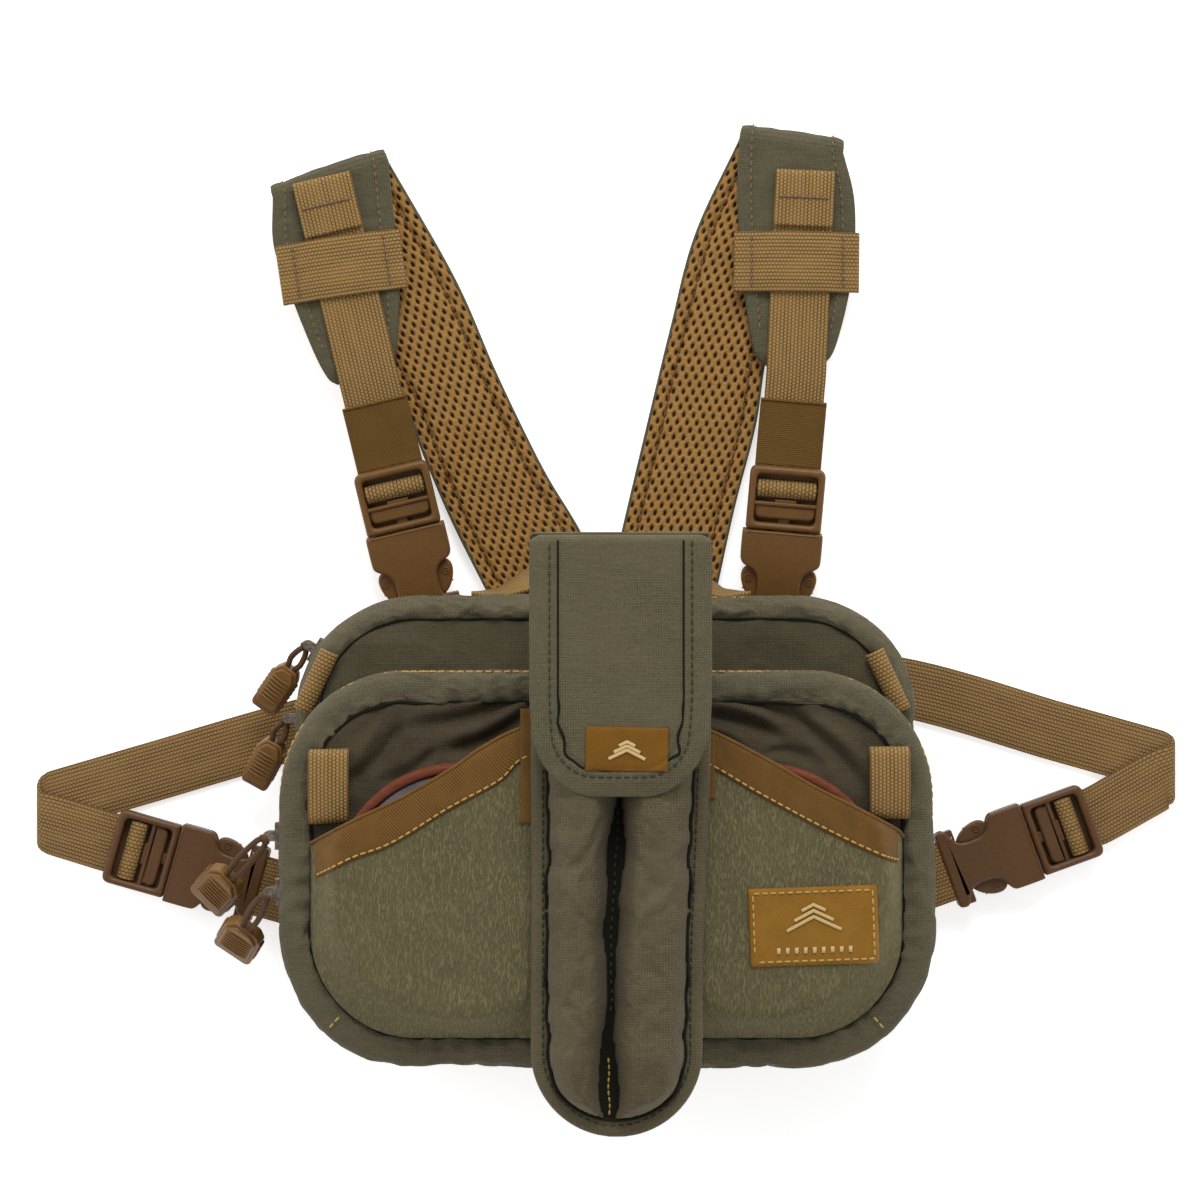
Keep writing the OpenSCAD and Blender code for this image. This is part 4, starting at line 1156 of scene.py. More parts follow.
def flap_parts():
    """The flap, the cloth it turns on, its stitches and its seam."""
    rows = []
    for y in bunched(FLAP_LOW + 0.15, 28.0, 110):
        left, right = flap_sides(y)
        mid, half = (left + right) / 2, (right - left) / 2
        if y < FLAP_LOW + FLAP_R:
            half = half - FLAP_R + math.sqrt(max(FLAP_R**2 - (FLAP_LOW + FLAP_R - y) ** 2, 0.01))
        x = np.linspace(mid - half, mid + half, 64)
        rows.append(xyz(x, y, flap_height(x, y)))
    # Over the top edge and down behind it
    x, _, z = rows[-1].T
    corner = 2.6 * np.clip((np.abs(x - mid) - half + 5) / 5, 0, 1) ** 2
    for a in np.radians(np.linspace(15, 90, 6)):
        rows.append(xyz(x, 28.0 + (3.4 - corner) * math.sin(a), z - 3.4 * (1 - math.cos(a))))
    for down in np.linspace(112, 97, 6):
        rows.append(xyz(x, 31.4 - corner, down))
    points = np.array(rows)
    cover = grid(points, xyz(points[..., 1], points[..., 0], 0.0))
    build(cover, "flap_panel", "flap", "flap", ["flap"], thick=1.2)
    fold = [(27.0, 95.9), (30.5, 95.6), (32.2, 96.3), (32.8, 98.0), (32.5, 101.0), (32.3, 104.0)]
    fold = smooth(fold, count=22)
    x = np.linspace(POUCH["left"] + 0.6, POUCH["right"] - 0.2, 40)[:, None]
    strip = grid(xyz(x, fold[:, 0], fold[:, 1]), xyz(lengths(fold), x, 0.0))
    build(strip, "flap_hinge_cloth", "flap", ("front_lid", "flap", (0, 29.5, 96), (0, 32.6, 99)),
          thick=0.9)
    build(stitches(flap_line(8.0, 0.1), UP, 3.4, 2.4, 0.4, 0.25), "flap_stitch", "thread_olive", "flap")
    build(cord(flap_line(11.2, 0.1, 1.0), 0.62), "flap_seam", "thread_dark", "flap")


def crest(placed, over, size):
    """A plain mark of three stacked peaks, as raised thread."""
    shape = Shape()
    for k, wide in enumerate((1.0, 0.72, 0.44)):
        foot = (-0.42 + 0.36 * k) * size
        line = even([(-wide * size, foot), (0, foot + 0.5 * wide * size), (wide * size, foot)], 0.6)
        x, y = placed(*line.T)
        line = xyz(x, y, over(x, y) + 0.35)
        shape.join(sweep(line, np.repeat([UP_Y], len(x), 0), flat_ring(1.3, 0.6, 0.3)))
    return shape


def label_parts():
    """Woven labels with a plain mark, and bars in place of words on the larger one."""
    specs = [
        ("flap_label", "flap", "label_small", flap_height, (8.0, -53.0), (33.0, 17.5), -1.0, 1.4, 7.2, -0.8),
        ("pocket_label", "front_lid", "label", pocket_height, (83.0, -125.0), (52.0, 31.5), 2.0, 1.6, 11.0,
         3.0),
    ]
    for name, body, look, under, at, size, turn, lift, mark, mark_up in specs:
        stitched = name == "pocket_label"
        c, s = math.cos(math.radians(turn)), math.sin(math.radians(turn))
        half_u, half_v = size[0] / 2, size[1] / 2

        def placed(u, v, up=0.0):
            return at[0] + c * u - s * v, at[1] + up + s * u + c * v

        def over(x, y):
            """The label follows the cloth under it, but is stiffer."""
            return 0.6 * under(x, y) + 0.4 * np.median(under(x, y)) + lift

        u, v = np.meshgrid(np.linspace(-half_u, half_u, 48), np.linspace(-half_v, half_v, 30), indexing="ij")
        x, y = placed(u, v)
        edge = np.minimum(half_u - np.abs(u), half_v - np.abs(v))
        sheet = grid(xyz(x, y, over(x, y) - 0.9 * np.exp(-edge / 0.5)), xyz(u, v, 0.0), flip=True)
        build(sheet, name + "_patch", look, body, [name], thick=0.9)
        if stitched:
            hem = box_line(2 - half_u, 2 - half_v, half_u - 2, half_v - 2, 0.4)
            x, y = placed(*even(np.vstack([hem, hem[:1]]), 0.8).T)
            build(stitches(xyz(x, y, over(x, y)), UP, 3.4, 2.5, GOLD_R, 0.3), name + "_stitch", "thread_gold",
                  body)
        marks = crest(lambda u, v: placed(u, v, mark_up), over, mark)
        if stitched:
            for k in range(-4, 5):
                px, py = placed(k * 3.6, -9.5)
                y = py + np.array([-1.2, 0.0, 1.2])
                bar = xyz(px, y, over(px + 0 * y, y) + 0.35)
                marks.join(sweep(bar, np.repeat([[1.0, 0, 0]], 3, 0), flat_ring(1.5, 0.6, 0.3)))
        build(marks, name + "_mark", "thread_cream", body)


def loop_parts():
    """Lash loops on the front lid and folded loops on the rear corners."""
    for i, (x, y, w, l, turn) in enumerate(((-112.6, -70, 16.5, 28, 1.5), (114.8, -68.5, 16.5, 27, 0.0))):
        path = [(x, y + l / 2 + 0.4, 76.8), (x, y + l / 2 - 1, 80.2), (x, y + l / 4, 81.3), (x, y, 81.6),
                (x, y - l / 4, 81.3), (x, y - l / 2 + 1, 80.2), (x, y - l / 2 - 0.4, 76.6)]
        side = math.radians(turn)
        strip = band(path, (math.cos(side), math.sin(side), 0), w, 1.8, 1.0)
        build(strip, f"front_loop_{i + 1}", "webbing", "front_lid",
              ["front_loops"] if i == 0 else ())
    for i, side in enumerate((-1, 1)):
        a = math.radians(side * 25)
        across = np.array([-math.sin(a), math.cos(a), 0])
        out = np.array([math.cos(a), math.sin(a), 0])
        at = np.array([side * 120.0 - 3.5 * i, -28, 0])
        path = [at + out * 3.2 + [0, 0, 50.4], at + out * 3.0 + [0, 0, 53], at + [0, 0, 54.6],
                at - out * 3.0 + [0, 0, 53], at - out * 3.2 + [0, 0, 50.4]]
        build(band(path, across, 27, 1.6, 0.8), f"rear_loop_{i + 1}", "webbing", "rear_lid",
              ["rear_loops"] if i == 0 else ())


# ---------------------------------------------------------------- harness
PAD_T, PAD_W, FOLD_Z, FOLD_R = 6.0, 46, 6.25, 3.25
REAR_ROWS, FOLD_ROWS, FRONT_ROWS = 210, 16, 84
PADS = {
    "left": dict(
        rear_l=[(-50, 7), (-66, 39), (-78, 67), (-87, 90), (-110, 131), (-142, 177)],
        rear_r=[(-0.9, 7), (-10, 33), (-27, 62), (-46.5, 102), (-64.5, 143), (-93, 193)],
        front_l=[(-142, 177), (-141.5, 156), (-133, 132), (-124, 110), (-118.5, 100), (-115, 97.5)],
        front_r=[(-93, 193), (-90, 164), (-88, 138), (-89, 116), (-90, 109), (-94, 104.5)],
    ),
    "right": dict(
        rear_l=[(0.9, 7), (6.5, 34), (19, 87), (27.5, 122), (38, 162), (57, 202.8)],
        rear_r=[(46.7, 7), (55, 45), (64, 80), (70, 115), (84, 150), (101, 196.3)],
        front_l=[(57, 202.8), (56, 182), (56.8, 160), (59, 136), (63, 112), (69, 104.5)],
        front_r=[(101, 196.3), (105.5, 178), (106, 158), (103.5, 136), (97.5, 113), (92, 105)],
    ),
}


def pad_stations(pad):
    """Left edge, right edge, height and inward normal of the pad's middle surface, foot to tip."""
    rear_l, rear_r = (smooth(pad[edge], count=REAR_ROWS) for edge in ("rear_l", "rear_r"))
    front_l, front_r = (smooth(pad[edge], count=FRONT_ROWS) for edge in ("front_l", "front_r"))
    fold = rear_r[-1] - rear_l[-1]
    out = unit(np.array([-fold[1], fold[0]]))
    a = np.radians(np.linspace(9, 171, FOLD_ROWS))[:, None]
    turn = out[None] * FOLD_R * np.sin(a)
    left = np.vstack([rear_l, rear_l[-1] + turn, front_l])
    right = np.vstack([rear_r, rear_r[-1] + turn, front_r])
    a = a[:, 0]
    z = np.concatenate([np.full(REAR_ROWS, FOLD_Z - FOLD_R), FOLD_Z - FOLD_R * np.cos(a),
                        np.full(FRONT_ROWS, FOLD_Z + FOLD_R)])
    flat = np.array([[0, 0, 1.0]])
    bend = np.hstack([-out[None] * np.sin(a)[:, None], np.cos(a)[:, None]])
    normal = np.vstack([np.repeat(flat, REAR_ROWS, 0), bend, np.repeat(-flat, FRONT_ROWS, 0)])
    return left, right, z, normal


def pad_parts():
    """Each pad: cloth cover, mesh lining and two rows of stitches on either side."""
    for index, (side, pad) in enumerate(PADS.items()):
        left, right, z, normal = pad_stations(pad)
        wide = np.linalg.norm(right - left, axis=1)
        s = lengths((left + right) / 2)
        tip = np.sqrt(np.clip((s[-1] - s) / 5, 0.03, 1))

        def surface(v, lift, sunk=0.0):
            """Points across the pad at v from -1 to 1, lift times half its thickness from the middle."""
            v = np.broadcast_to(np.asarray(v, float), (len(left), np.shape(v)[-1]))
            mid, half = (left + right)[:, None] / 2, (right - left)[:, None] / 2
            xy = mid + half * v[..., None]
            base = np.concatenate([xy, np.repeat(z[:, None, None], v.shape[1], 1)], -1)
            edge = (1 - np.abs(v)) * wide[:, None] / 2
            full = 0.62 + 0.38 * np.sqrt(np.clip(1 - (1 - np.clip(edge / 7, 0, 1)) ** 2, 0, 1))
            high = PAD_T / 2 * lift * full * tip[:, None]
            rows = s[:, None] + 0 * v
            soft = 0.25 * waves(rows, v * 22, 24, 91 + index) + 0.18 * waves(rows, v * 22, 9, 93 + index)
            groove = sunk * np.exp(-(((edge - 6.5) / 1.3) ** 2)) * (1 + 0.4 * waves(rows, 0 * v, 7, 95))
            high = high + np.sign(lift) * (soft * np.clip(edge / 6, 0, 1) - groove)
            p = base + normal[:, None] * high[..., None]
            p[..., 2] = np.maximum(p[..., 2], 0.25)
            return p, xyz(rows, v * wide[:, None] / 2, 0.0)

        # The cover: a lip over each edge of the lining, the edges and the outer face
        lip = np.array([-0.955, -0.985, -1.0])
        bits = [surface(lip, 1.0), surface(np.array([-1.004]), 0.001),
                surface(np.linspace(-0.985, 0.985, 34), -1.0, 0.25), surface(np.array([1.004]), 0.001),
                surface(-lip[::-1], 1.0)]
        ring, lay = (np.concatenate([bit[i] for bit in bits], 1) for i in (0, 1))
        shell = grid(ring, lay, flip=True)
        shell.faces += [list(range((len(ring) - 1) * ring.shape[1], len(ring) * ring.shape[1]))]
        obj = build(shell, f"pad_{side}_cover", "pad", "pack", [f"shoulder_pad_{side}"],
                    thick=0.5)
        # The lining, sunk at each hole of the mesh
        inner, lay = surface(np.linspace(-0.965, 0.965, 64), 0.97, 1.5)
        off_x = lay[..., 1] / (HOLE_COL / 2)
        near = np.round(off_x)
        row = lay[..., 0] / HOLE_ROW + 0.5 * (np.mod(near, 2))
        d = np.hypot((off_x - near) * HOLE_COL / 2 / HOLE_W, (row - np.round(row)) * HOLE_ROW / HOLE_L)
        inner = inner - normal[:, None] * (1.0 * (1 - step01((d - 0.3) / 0.8)))[..., None]
        obj = build(grid(inner, lay), f"pad_{side}_lining", "mesh", "pack", thick=0.6)
        rows, seams = Shape(), Shape()
        cover, lining = slice(REAR_ROWS + 3, -14), slice(6, REAR_ROWS - 10)
        for edge in (-1, 1):
            line, _ = surface(np.array([edge * (1 - 10.5 / PAD_W)]), -1.0, 0.25)
            rows.join(stitches(line[cover, 0], -normal[cover], 3.3, 2.3, 0.4, 0.25))
            line, _ = surface(np.array([edge * (1 - 13 / PAD_W)]), 0.97, 1.35)
            seams.join(stitches(line[lining, 0], normal[lining], 3.6, 2.9, 0.5, 0.3))
        build(seams, f"pad_{side}_channel", "binding", "pack")
        build(rows, f"pad_{side}_stitch", "thread_brown", "pack")


def on_pad(index):
    """Frame of the webbing that lies on a pad: u towards the buckle."""
    origin, heading, _ = list(BUCKLES.values())[index]
    head = math.radians(heading)
    flat = math.radians((-76.7, -92.6)[index])
    start = (origin[0] - 38 * math.cos(head), origin[1] - 38 * math.sin(head), 12.5)
    return Matrix.Translation(Vector(start) * MM) @ Matrix.Rotation(flat, 4, "Z")


def at_buckle(name):
    """A buckle's own frame: u from the frame's end to the female, v across, w up."""
    origin, heading, pitch = BUCKLES[name]
    turn = Matrix.Rotation(math.radians(heading), 4, "Z") @ Matrix.Rotation(math.radians(pitch), 4, "Y")
    return Matrix.Translation(Vector(origin) * MM) @ turn


def carried(matrix, points):
    """Points in mm moved by a matrix in metres."""
    m = np.array(matrix)
    return np.asarray(points, float) @ m[:3, :3].T + m[:3, 3] / MM


def shoulder_straps():
    """Webbing on both pads, with its sewn tail, keeper and elastic sleeve."""
    straps, tails, keepers, sleeves, rows = Shape(), Shape(), Shape(), Shape(), Shape()
    for i, name in enumerate(("top_left", "top_right")):
        pad, clip = on_pad(i), at_buckle(name)
        flat = carried(pad, [(-86, 0, 1.3), (-60, 0, 1.3), (-30, 0, 1.3), (-8, 0, 1.3), (-2, 0, 1.1)])
        slope = carried(clip, [(-32, 0, -6.3), (-16, 0, -6.3), (0, 0, -5.9), (14, 0, -5.1)])
        side = np.array(pad)[:3, 1]
        straps.join(band(np.vstack([flat, slope]), side))
        # The tail turns back on itself and is sewn down
        tail = carried(pad, [(-86, 0, 1.4), (-87.6, 0, 2.4), (-86.4, 0, 3.7), (-80, 0, 4.1), (-72, 0, 3.9),
                             (-64.5, 0, 3.4)])
        tails.join(band(tail, side, WEB_W - 0.3, 1.7, 1.0))
        line = carried(pad, [(-76.5, v, 5.0) for v in np.linspace(-11.5, 11.5, 30)])
        rows.join(stitches(line, UP, 1.9, 1.6, 0.5, 0.3))
        ends = (((-138.4, 143.5), (-87.0, 151)), ((55.0, 149.5), (107.0, 149)))[i]
        a, b = (np.array(e) for e in ends)
        axis = unit(b - a)
        across = np.array([-axis[1], axis[0], 0])
        heights = [(0, 11.2), (0.02, 12.6), (0.12, 13.2), (0.26, 15.4), (0.32, 15.9), (0.5, 16.1),
                   (0.7, 15.9), (0.76, 15.4), (0.88, 13.2), (0.98, 12.6), (1, 11.2)]
        line = [(*(a + (b - a) * t), h) for t, h in heights]
        keepers.join(band(line, across, 25.6, 1.6, 1.0))
        for t in (0.13, 0.88):
            c = a + (b - a) * t
            seam = [(*(c + across[:2] * w), 14.4) for w in np.linspace(-12, 12, 30)]
            rows.join(stitches(np.array(seam), UP, 3.2, 2.3, 0.4, 0.2))
        cuff = carried(clip, [(-28, 0, -6.2), (-24, 0, -6.2), (-12, 0, -6.2), (-3, 0, -5.9), (1.0, 0, -5.0)])
        sleeves.join(band(cuff, np.array(clip)[:3, 1], 28.2, 4.3, 1.5))
        hem = carried(clip, [(-27.6, v, -3.85) for v in (-13.6, -7, 0, 7, 13.6)])
        sleeves.join(tube(hem, 0.45, 8))
    build(straps, "shoulder_straps", "webbing", "pack", ["shoulder_webbing"])
    build(tails, "strap_tails", "webbing", "pack")
    build(keepers, "keepers", "webbing", "pack", ["keeper_bands"])
    build(sleeves, "sleeves", "elastic", "pack", ["elastic_sleeves"])
    build(rows, "strap_stitches", "thread_brown", "pack")


def side_straps():
    """Each side strap runs out from behind the pack, turns over and comes back to its buckle."""
    rears = {"left": [(-52, -28.8), (-136, -51.0)], "right": [(52, -24), (125, -31.5)]}
    folds = {"left": (-81.5, -8.0), "right": (-64.0, -5.5)}
    for name, side in (("left", -1), ("right", 1)):
        clip = at_buckle("side_" + name)
        start, near = (np.array(q, float) for q in rears[name])
        drift = folds[name][1]
        turn = np.array([side * 240.4, folds[name][0]])
        end = carried(clip, [(-4, 0, 0)])[0, :2]
        leave = turn + [0, drift]
        go, back = unit(turn - near), unit(end - leave)
        a = np.array([-go[1], go[0], 0]) * side
        b = np.array([-back[1], back[0], 0]) * -side
        c = np.array(clip)[:3, 1] * np.sign(np.array(clip)[:3, 1] @ b)
        line = [(*at, 1.3) for at in (start, near, turn - go * 50, turn - go * 20, turn - go * 5)]
        across = [a, a, a, a, unit(a * 0.7 + UP_Y * 0.3)]
        for angle in np.linspace(0, math.pi, 7):
            line.append((turn[0] + side * 2.4 * math.sin(angle), turn[1] + drift * step01(angle / math.pi),
                         1.1 + 1.7 * (1 - math.cos(angle))))
            across.append(UP_Y)
        line += [(*(leave + back * 5), 3.9), (*(leave + back * 14), 3.7)]
        across += [unit(b * 0.7 + UP_Y * 0.3), b]
        line += list(carried(clip, [(-4, 0, -5.0), (2, 0, -5.1), (8, 0, -5.1), (14, 0, -5.0)]))
        across += [unit(b + c), c, c, c]
        build(band(line, across, square=False), "side_strap_" + name + "_web", "strap", "pack",
              ["side_strap_" + name])


def handle_and_tabs():
    """The grab handle, and the webbing that holds the four female buckles."""
    a = np.radians(np.linspace(128, 52, 60))
    arc = -73 + 94 * np.sin(a)
    clear = step01((arc - 9) / 8)[:, None]
    high = 21 + 3 * clear[:, 0] + (2.0 * np.sin(np.linspace(0, math.pi, 60)) - 1)
    line = even(xyz(2 + 94 * np.cos(a), np.maximum(arc, 8.4), high), 2.0)
    out = xyz(np.cos(a), np.sin(a), 0.0)
    across = unit(out * 0.62 * clear + np.array([0, 0, -1.0]) * (1 - 0.22 * clear))
    build(sweep(line, smooth(across, count=len(line)), flat_ring(24, 2.0)), "grab_handle_web", "webbing",
          "pack", ["grab_handle"])
    tabs = Shape()
    for name in BUCKLES:
        clip = at_buckle(name)
        side = np.array(clip)[:3, 1]
        reach = 12 if name.startswith("top") else 32
        loop = [(66 + reach, 0, -2.9), (74, 0, -2.9), (65, 0, -2.9), (62.6, 0, -2.2), (61.6, 0, 0),
                (62.6, 0, 2.2), (65, 0, 2.9), (74, 0, 2.9), (66 + reach, 0, 2.9)]
        tabs.join(band(carried(clip, loop), side, WEB_W, 1.6, 1.0))
    build(tabs, "buckle_webs", "strap", "pack", ["buckle_tabs"])


def back_and_yoke():
    """The padded back, its cushion and the yoke that joins the pads under it."""
    half = 122
    pad = columns(bunched(-half, half, 110), lambda x: column_ends(x, REAR, 4.5)[0],
                  lambda x: np.minimum(column_ends(x, REAR, 4.5)[1], -8), 90,
                  lambda x, y: 6.6 + 0.5 * waves(x, y, 24, 101)
                  + 4.5 * np.exp(-np.clip(half - np.abs(x), 0, 99) / 3.0))
    obj = build(pad, "back_panel_face", "mesh", "pack", ["back_panel"], thick=2.0, side=1)
    u, v = np.meshgrid(np.linspace(-1, 1, 90), np.linspace(-1, 1, 50), indexing="ij")
    r = (np.abs(u) ** 5 + np.abs(v) ** 5)
    x, y = 92 * u * (1 - 0.02 * v**2), -134 + 42 * v * (1 - 0.03 * u**2)
    soft = 0.3 * waves(x, y, 18, 103) * (1 - np.clip(r, 0, 1))
    low = 6.2 - 5.9 * np.sqrt(np.clip(1 - r * 0.96, 0, 1)) + soft
    cushion = grid(xyz(x, y, np.clip(low, 0.15, 6.4)), xyz(y, x, 0.0), flip=True)
    obj = build(cushion, "back_cushion", "mesh", "pack", thick=1.0, side=1)
    edge = rounded([(-53, 12), (48, 12), (44, -38), (22, -80), (-18, -80), (-44, -38)], 6)
    yoke = plate(edge, (), 0.6, 5.6, 2.0, 4)
    build(yoke, "yoke_pad", "pad", "pack", ["yoke"])


# ---------------------------------------------------------------- buckles
def mirrored(line):
    """The other half of an outline that starts and ends on the long axis side."""
    line = list(line)
    return np.array(line + [(u, -v) for u, v in reversed(line)])


def buckle_look(name):
    return "plastic" if name.startswith("top") else "plastic_low"


def female_parts(name):
    """Housing: two faces, the core and walls between them, and the bar its webbing turns on."""
    half = [(27.5, 16.8), (29, 17), (38.8, 17), (41.4, 16.4), (43, 14.4), (44.2, 12.0), (46, 10.2), (49, 9.3),
            (54, 9.2), (57.4, 10.2), (59.6, 12.8), (61, 15.6), (62.6, 16.8), (65.2, 16.4), (66, 15.4)]
    edge = mirrored(smooth(half, 1.0))
    slot = box_line(58.9, -13.1, 62.7, 13.1, 1.0)
    shape = Shape()
    shape.join(plate(edge, [slot], 2.5, 5.0, 1.1, 4))
    shape.join(plate(edge, [slot], -5.0, -2.5, 1.1, 4))
    core = [(42.5, 2.0), (45, 2.2), (50, 2.8), (56, 3.6), (58.0, 5.0), (58.2, 14.6), (58.8, 15.8)]
    shape.join(plate(mirrored(smooth(core, 1.0)), (), -2.7, 2.7, 0.4))
    for foot, wall in ((-16.2, -16.95), (13.2, 15.9)):
        shape.join(plate(box_line(58.2, foot, 65.8, foot + 3.0, 0.8), (), -2.7, 2.7, 0.3))
        shape.join(plate(box_line(27.8, wall, 40, wall + 1.05, 0.3), (), -2.7, 2.7, 0.25))
    shape.join(plate(box_line(62.9, -13.6, 65.8, 13.6, 0.8), (), -2.0, 2.0, 0.8))
    lip = [(28.2, v, 4.75) for v in np.linspace(-15, 15, 12)]
    shape.join(tube(lip, 0.5, 8))
    build(shape, name + "_female", buckle_look(name), "pack", ["female_" + name],
          at_buckle(name))


def male_parts(name):
    """Frame with its bar and roll of webbing, and the two prongs."""
    look, body, place = buckle_look(name), "male_" + name, at_buckle(name)
    edge = rounded([(0, -16), (27, -16), (27, 16), (0, 16)], [3.6, 1.2, 1.2, 3.6])
    window = box_line(3.3, -13.0, 24.0, 13.0, 2.2)
    shape = Shape()
    shape.join(plate(edge, [window], -3.6, 4.3, 1.5, 5))
    shape.join(tube([(9.6, -14.5, 0), (9.6, 0, 0), (9.6, 14.5, 0)], 1.8, 12))
    slab = rounded([(15.9, -13.2), (15.9, 13.2), (22.4, 12.8), (22.4, -12.8)], [0.5, 0.5, 3, 3])
    shape.join(plate(slab, (), -1.4, 2.4, 1.3, 5))
    # The comb over the slab, the back plate, a tooth, the root of the guide and the guide
    for u1, u2, half, corner, z1, z2, edge in (
        (15.1, 16.7, 13.6, 0.4, -0.5, 3.3, 0.5), (2.5, 24.6, 13.6, 0.5, -3.5, -2.7, 0.3),
        (13.9, 15.6, 4.6, 0.5, 0.2, 2.0, 0.4), (21, 25.5, 2.4, 0.5, -1.8, 0.6, 0.5),
        (25.5, 34, 4, 1.2, -2.0, 2.0, 0.6),
    ):
        shape.join(plate(box_line(u1, -half, u2, half, corner), (), z1, z2, edge))
    build(shape, name + "_male", look, body, [body], place)
    a = np.radians(np.linspace(-250, 70, 30))
    roll = band(xyz(9.6 + 3.1 * np.sin(a), 0.0, 0.2 + 3.1 * np.cos(a)), UP_Y, 25.2, 1.7, 0.7)
    build(roll, name + "_roll", "webbing", body, (), place)
    for tag, sign in (("a", 1), ("b", -1)):
        arm = smooth([(29.2, 6.4), (36, 7.4), (42, 8.6), (48, 8.4), (53.6, 8.2), (57.0, 9.4), (57.4, 11.0),
                      (54.8, 13.6), (51, 15.5), (47, 16.1), (44.4, 15.2), (42, 12.6), (36, 10.6), (30, 10.2),
                      (28.6, 8.6), (29.2, 6.4)], 0.8)[:-1]
        arm = arm * [1, sign]
        prong = plate(arm, (), -2.4, 2.4, 1.0, 3)
        turn = np.linspace(0, 2 * math.pi, 18)
        ring = xyz(48.2 + 1.35 * np.cos(turn), sign * 13.0 + 1.35 * np.sin(turn), 2.45)
        prong.join(tube(ring, 0.42, 6, 0.5))
        turn = turn[:-1]
        prong.join(plate(xyz(48.2 + 0.6 * np.cos(turn), sign * 13 + 0.6 * np.sin(turn)), (), 2.2, 2.75, 0.15))
        for u in (51.4, 52.9):
            rib = [(u, sign * 14.0, 1.6), (u + 0.15, sign * 14.9, 0), (u, sign * 14.0, -1.6)]
            prong.join(tube(rib, 0.35, 6, 0.6))
        part = f"prong_{name}_{tag}"
        build(prong, f"{name}_prong_{tag}", look, part, [part], place)


# ---------------------------------------------------------------- zip sliders and pulls
EYE_R, GRIP_L = 4.5, 23  # from a slider's post to the cord's hinge, and the length of a grip


def zip_eyes():
    """Each slider's post, and where its pull's tip lies."""
    corner = np.array([-(REAR["half"] - REAR["r_top"]), REAR["top"] - REAR["r_top"]])
    a = math.radians(148)
    eye = corner + (REAR["r_top"] + 6.5) * np.array([math.cos(a), math.sin(a)])
    return {
        "rear_upper": ((*eye, 31.2), (-145, -40, 19)),
        "rear_lower": ((-133.5, -44, 31.2), (-149, -72, 18)),
        "front_upper": ((-138.5, -91, 64.2), (-168, -121, 28)),
        "front_lower": ((-138.5, -114, 64.2), (-157, -142, 28)),
    }


def pull_grip(start, wide):
    """A ribbed grip that begins at start; wide is its share of the narrow grip's width."""
    grip = Shape()
    for corners, z1, z2, corner, edge in (
        (((0, 3.6), (4, 5.8), (21.5, 6.2), (23.4, 5.2)), -3.2, 2.4, 1.1, 0.8),
        (((1.2, 2.6), (5, 4.9), (18.5, 5.1), (20.5, 4.2)), 1.2, 3.7, 1.0, 0.6),
    ):
        outline = rounded(mirrored([(start + u, -v * wide) for u, v in corners]), corner)
        grip.join(plate(outline, (), z1, z2, edge, 3))
    for k in range(7):
        u, v = start + 5.6 + k * 1.8, 4.3 * wide
        rib = [(u, -v, 3.5), (u, -v / 2, 3.95), (u, 0, 4.05), (u, v / 2, 3.95), (u, v, 3.5)]
        grip.join(tube(rib, 0.5, 8, 0.8))
    for k in range(6):
        u = start + 6 + k * 2.2
        for v in (-6.0 * wide, 6.0 * wide):
            grip.join(tube([(u, v, -2.2), (u, v * 1.03, -0.4), (u, v, 1.5)], 0.5, 6, 0.7))
    turn = np.linspace(0, 2 * math.pi, 14)
    ring = xyz(start + 3.6 + 0.95 * np.cos(turn), 0.95 * np.sin(turn), 3.3)
    return grip.join(tube(ring, 0.28, 6, 0.4))


def pulls():
    """Cord and grip of each zip pull, and the finish of its slider."""
    for name, (eye, tip) in zip_eyes().items():
        flat = np.array([tip[0] - eye[0], tip[1] - eye[1]])
        run, drop = np.linalg.norm(flat) - EYE_R, eye[2] - tip[2]
        heading, down = math.atan2(flat[1], flat[0]), math.atan2(drop, run)
        place = (Matrix.Translation(Vector(eye) * MM) @ Matrix.Rotation(heading, 4, "Z")
                 @ Matrix.Translation(Vector((EYE_R * MM, 0, 0))) @ Matrix.Rotation(down, 4, "Y"))
        body = "pull_" + name
        start = math.hypot(run, drop) - GRIP_L
        # Doubled cord: two strands that bow apart between the ring and the grip
        cords = Shape()
        for v in (-1, 1):
            cords.join(tube([(-3.2, 0.6 * v, 0), (0, 1.9 * v, 0.4), (start * 0.5, 2.6 * v, 1.0 + 0.5 * v),
                             (start - 1, 1.8 * v, 0.6), (start + 4, 1.3 * v, 0.2)], 1.25, 10, 0.9))
        turn = [(-3.4, -1.6, 0), (-4.6, -1.2, 0.6), (-5.0, 0, 0.8), (-4.6, 1.2, 0.6), (-3.4, 1.6, 0)]
        cords.join(tube(turn, 1.1, 8, 0.6))
        build(cords, name + "_cord", "cord", body, [body], place)
        grip = pull_grip(start, 1.46 if name.startswith("front") else 1.0)
        build(grip, name + "_grip", "grip", body, (), place)
        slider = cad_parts["slider_" + name]
        slider.data.materials.clear()
        slider.data.materials.append(LOOK["metal"])
        mod = slider.modifiers.new("edges", "BEVEL")
        mod.width, mod.segments, mod.limit_method = 0.5 * MM, 2, "ANGLE"


# ---------------------------------------------------------------- floor, light and camera
# Metres, unlike the rest
WALL_START, WALL_R, FLOOR_DROP, LAMP_D = 4.4, 1.6, 0.0008, 0.9
CAMERA_AT = (-0.0026, 0.0056, 1.43)


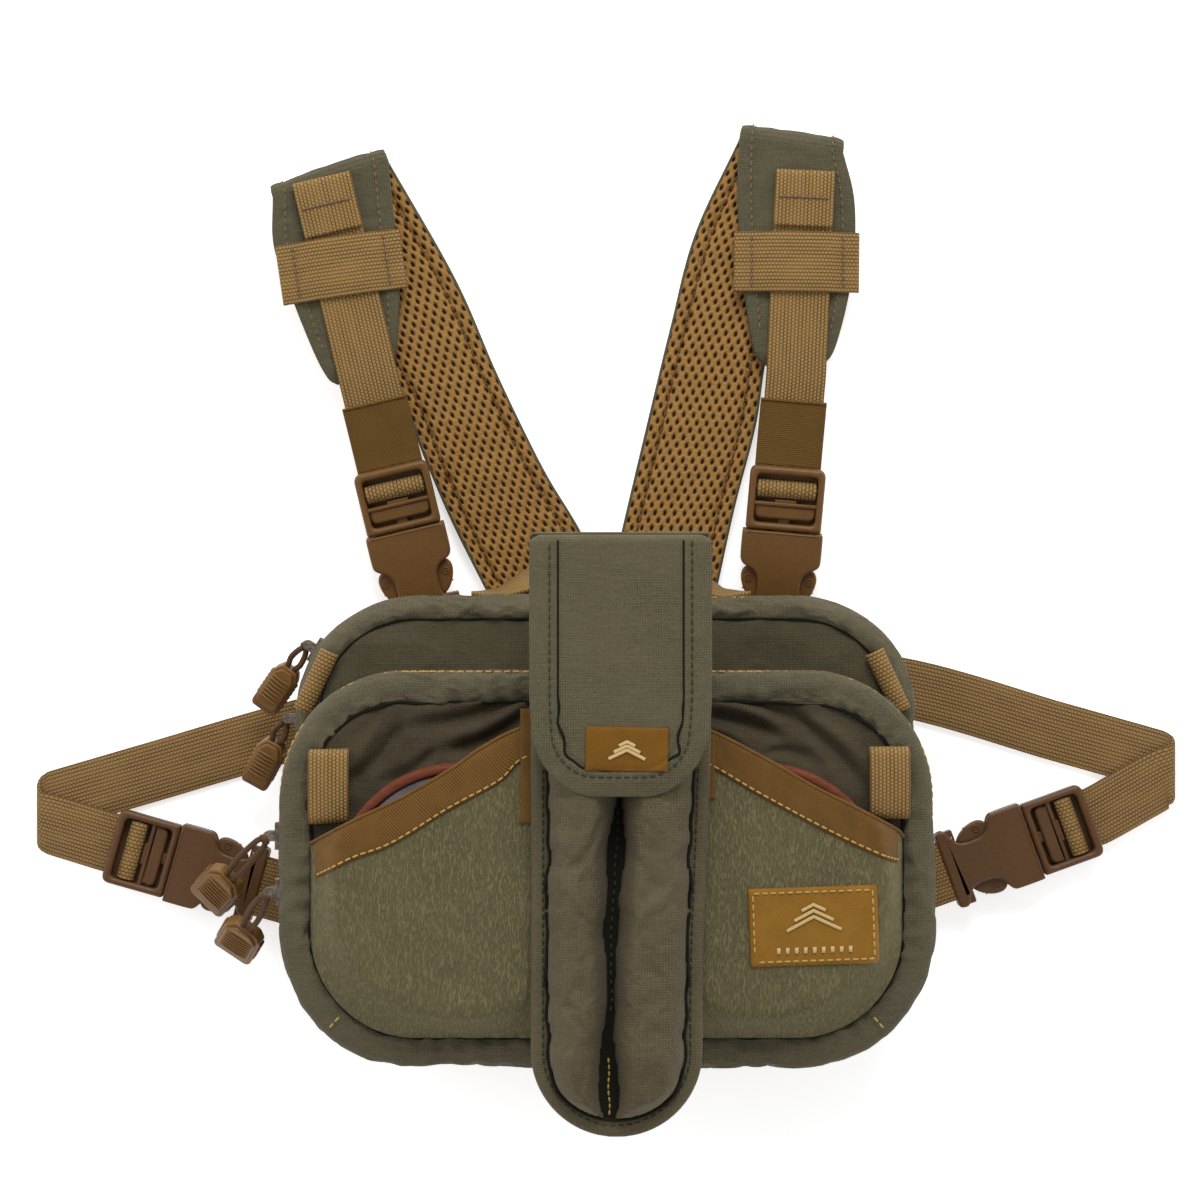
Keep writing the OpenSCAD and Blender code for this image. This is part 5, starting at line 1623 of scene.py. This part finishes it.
def floor_finish():
    """White paper that glows a little, less so round the pack, where soft shadows show."""
    f = Finish("floor")
    away = f.node("VectorMath", {0: f.place()}, operation="LENGTH").outputs["Value"]
    glow = f.range(away, 300, 700, 0.57, 0.62)
    f.done((0.96, 0.96, 0.96), 0.9, shine=0.0, Emission_Strength=glow)
    f.put(f.bsdf, "Emission Color", (1, 1, 1, 1))
    return f.mat


def area_light(name, place, target, power):
    """A round lamp that faces target."""
    data = bpy.data.lights.new(name, "AREA")
    data.shape, data.size, data.energy = "DISK", LAMP_D, power
    obj = bpy.data.objects.new(name, data)
    SCENE.collection.objects.link(obj)
    obj.location = place
    obj.rotation_euler = (Vector(target) - Vector(place)).to_track_quat("-Z", "Y").to_euler()


def stage():
    """A wide white floor that curves up into a wall all round, a pale sky, three lamps and the camera."""
    mesh = bpy.data.meshes.new("floor")
    sides = 96
    turn = np.linspace(0, 2 * math.pi, sides, endpoint=False)[:, None]
    rise = np.linspace(0, math.pi / 2, 14)
    far = np.concatenate([[0.001, 1.0, 3.0], WALL_START + WALL_R * np.sin(rise)])
    up = np.concatenate([[0, 0, 0], WALL_R * (1 - np.cos(rise))]) - FLOOR_DROP
    bowl = xyz(np.cos(turn) * far, np.sin(turn) * far, up)
    mesh.from_pydata(bowl.reshape(-1, 3).tolist(), [], quads(sides, len(far), True))
    mesh.shade_smooth()
    mesh.materials.append(floor_finish())
    floor = bpy.data.objects.new("floor", mesh)
    SCENE.collection.objects.link(floor)
    world = bpy.data.worlds.new("studio")
    SCENE.world = world
    world.use_nodes = True
    sky = world.node_tree.nodes["Background"]
    sky.inputs["Color"].default_value = (1, 1, 1, 1)
    sky.inputs["Strength"].default_value = 0.34
    area_light("key", (0.1, 1.15, 1.0), (0, 0, 0.05), 15)
    area_light("fill", (-0.9, 0.2, 1.1), (0, -0.05, 0.05), 3.4)
    area_light("soft", (0.8, -0.7, 1.2), (0, -0.05, 0.05), 2.4)
    data = bpy.data.cameras.new("camera")
    data.lens, data.sensor_width = 100, 36
    data.clip_start, data.clip_end = 0.05, 20
    camera = bpy.data.objects.new("camera", data)
    camera.location = CAMERA_AT
    SCENE.collection.objects.link(camera)
    SCENE.camera = camera
    SCENE.view_settings.view_transform = "Standard"


compartments()
pocket_parts()
calls()
pouch_parts()
flap_parts()
label_parts()
loop_parts()
pad_parts()
shoulder_straps()
side_straps()
handle_and_tabs()
back_and_yoke()
for buckle in BUCKLES:
    female_parts(buckle)
    male_parts(buckle)
pulls()
stage()

bpy.context.view_layer.update()
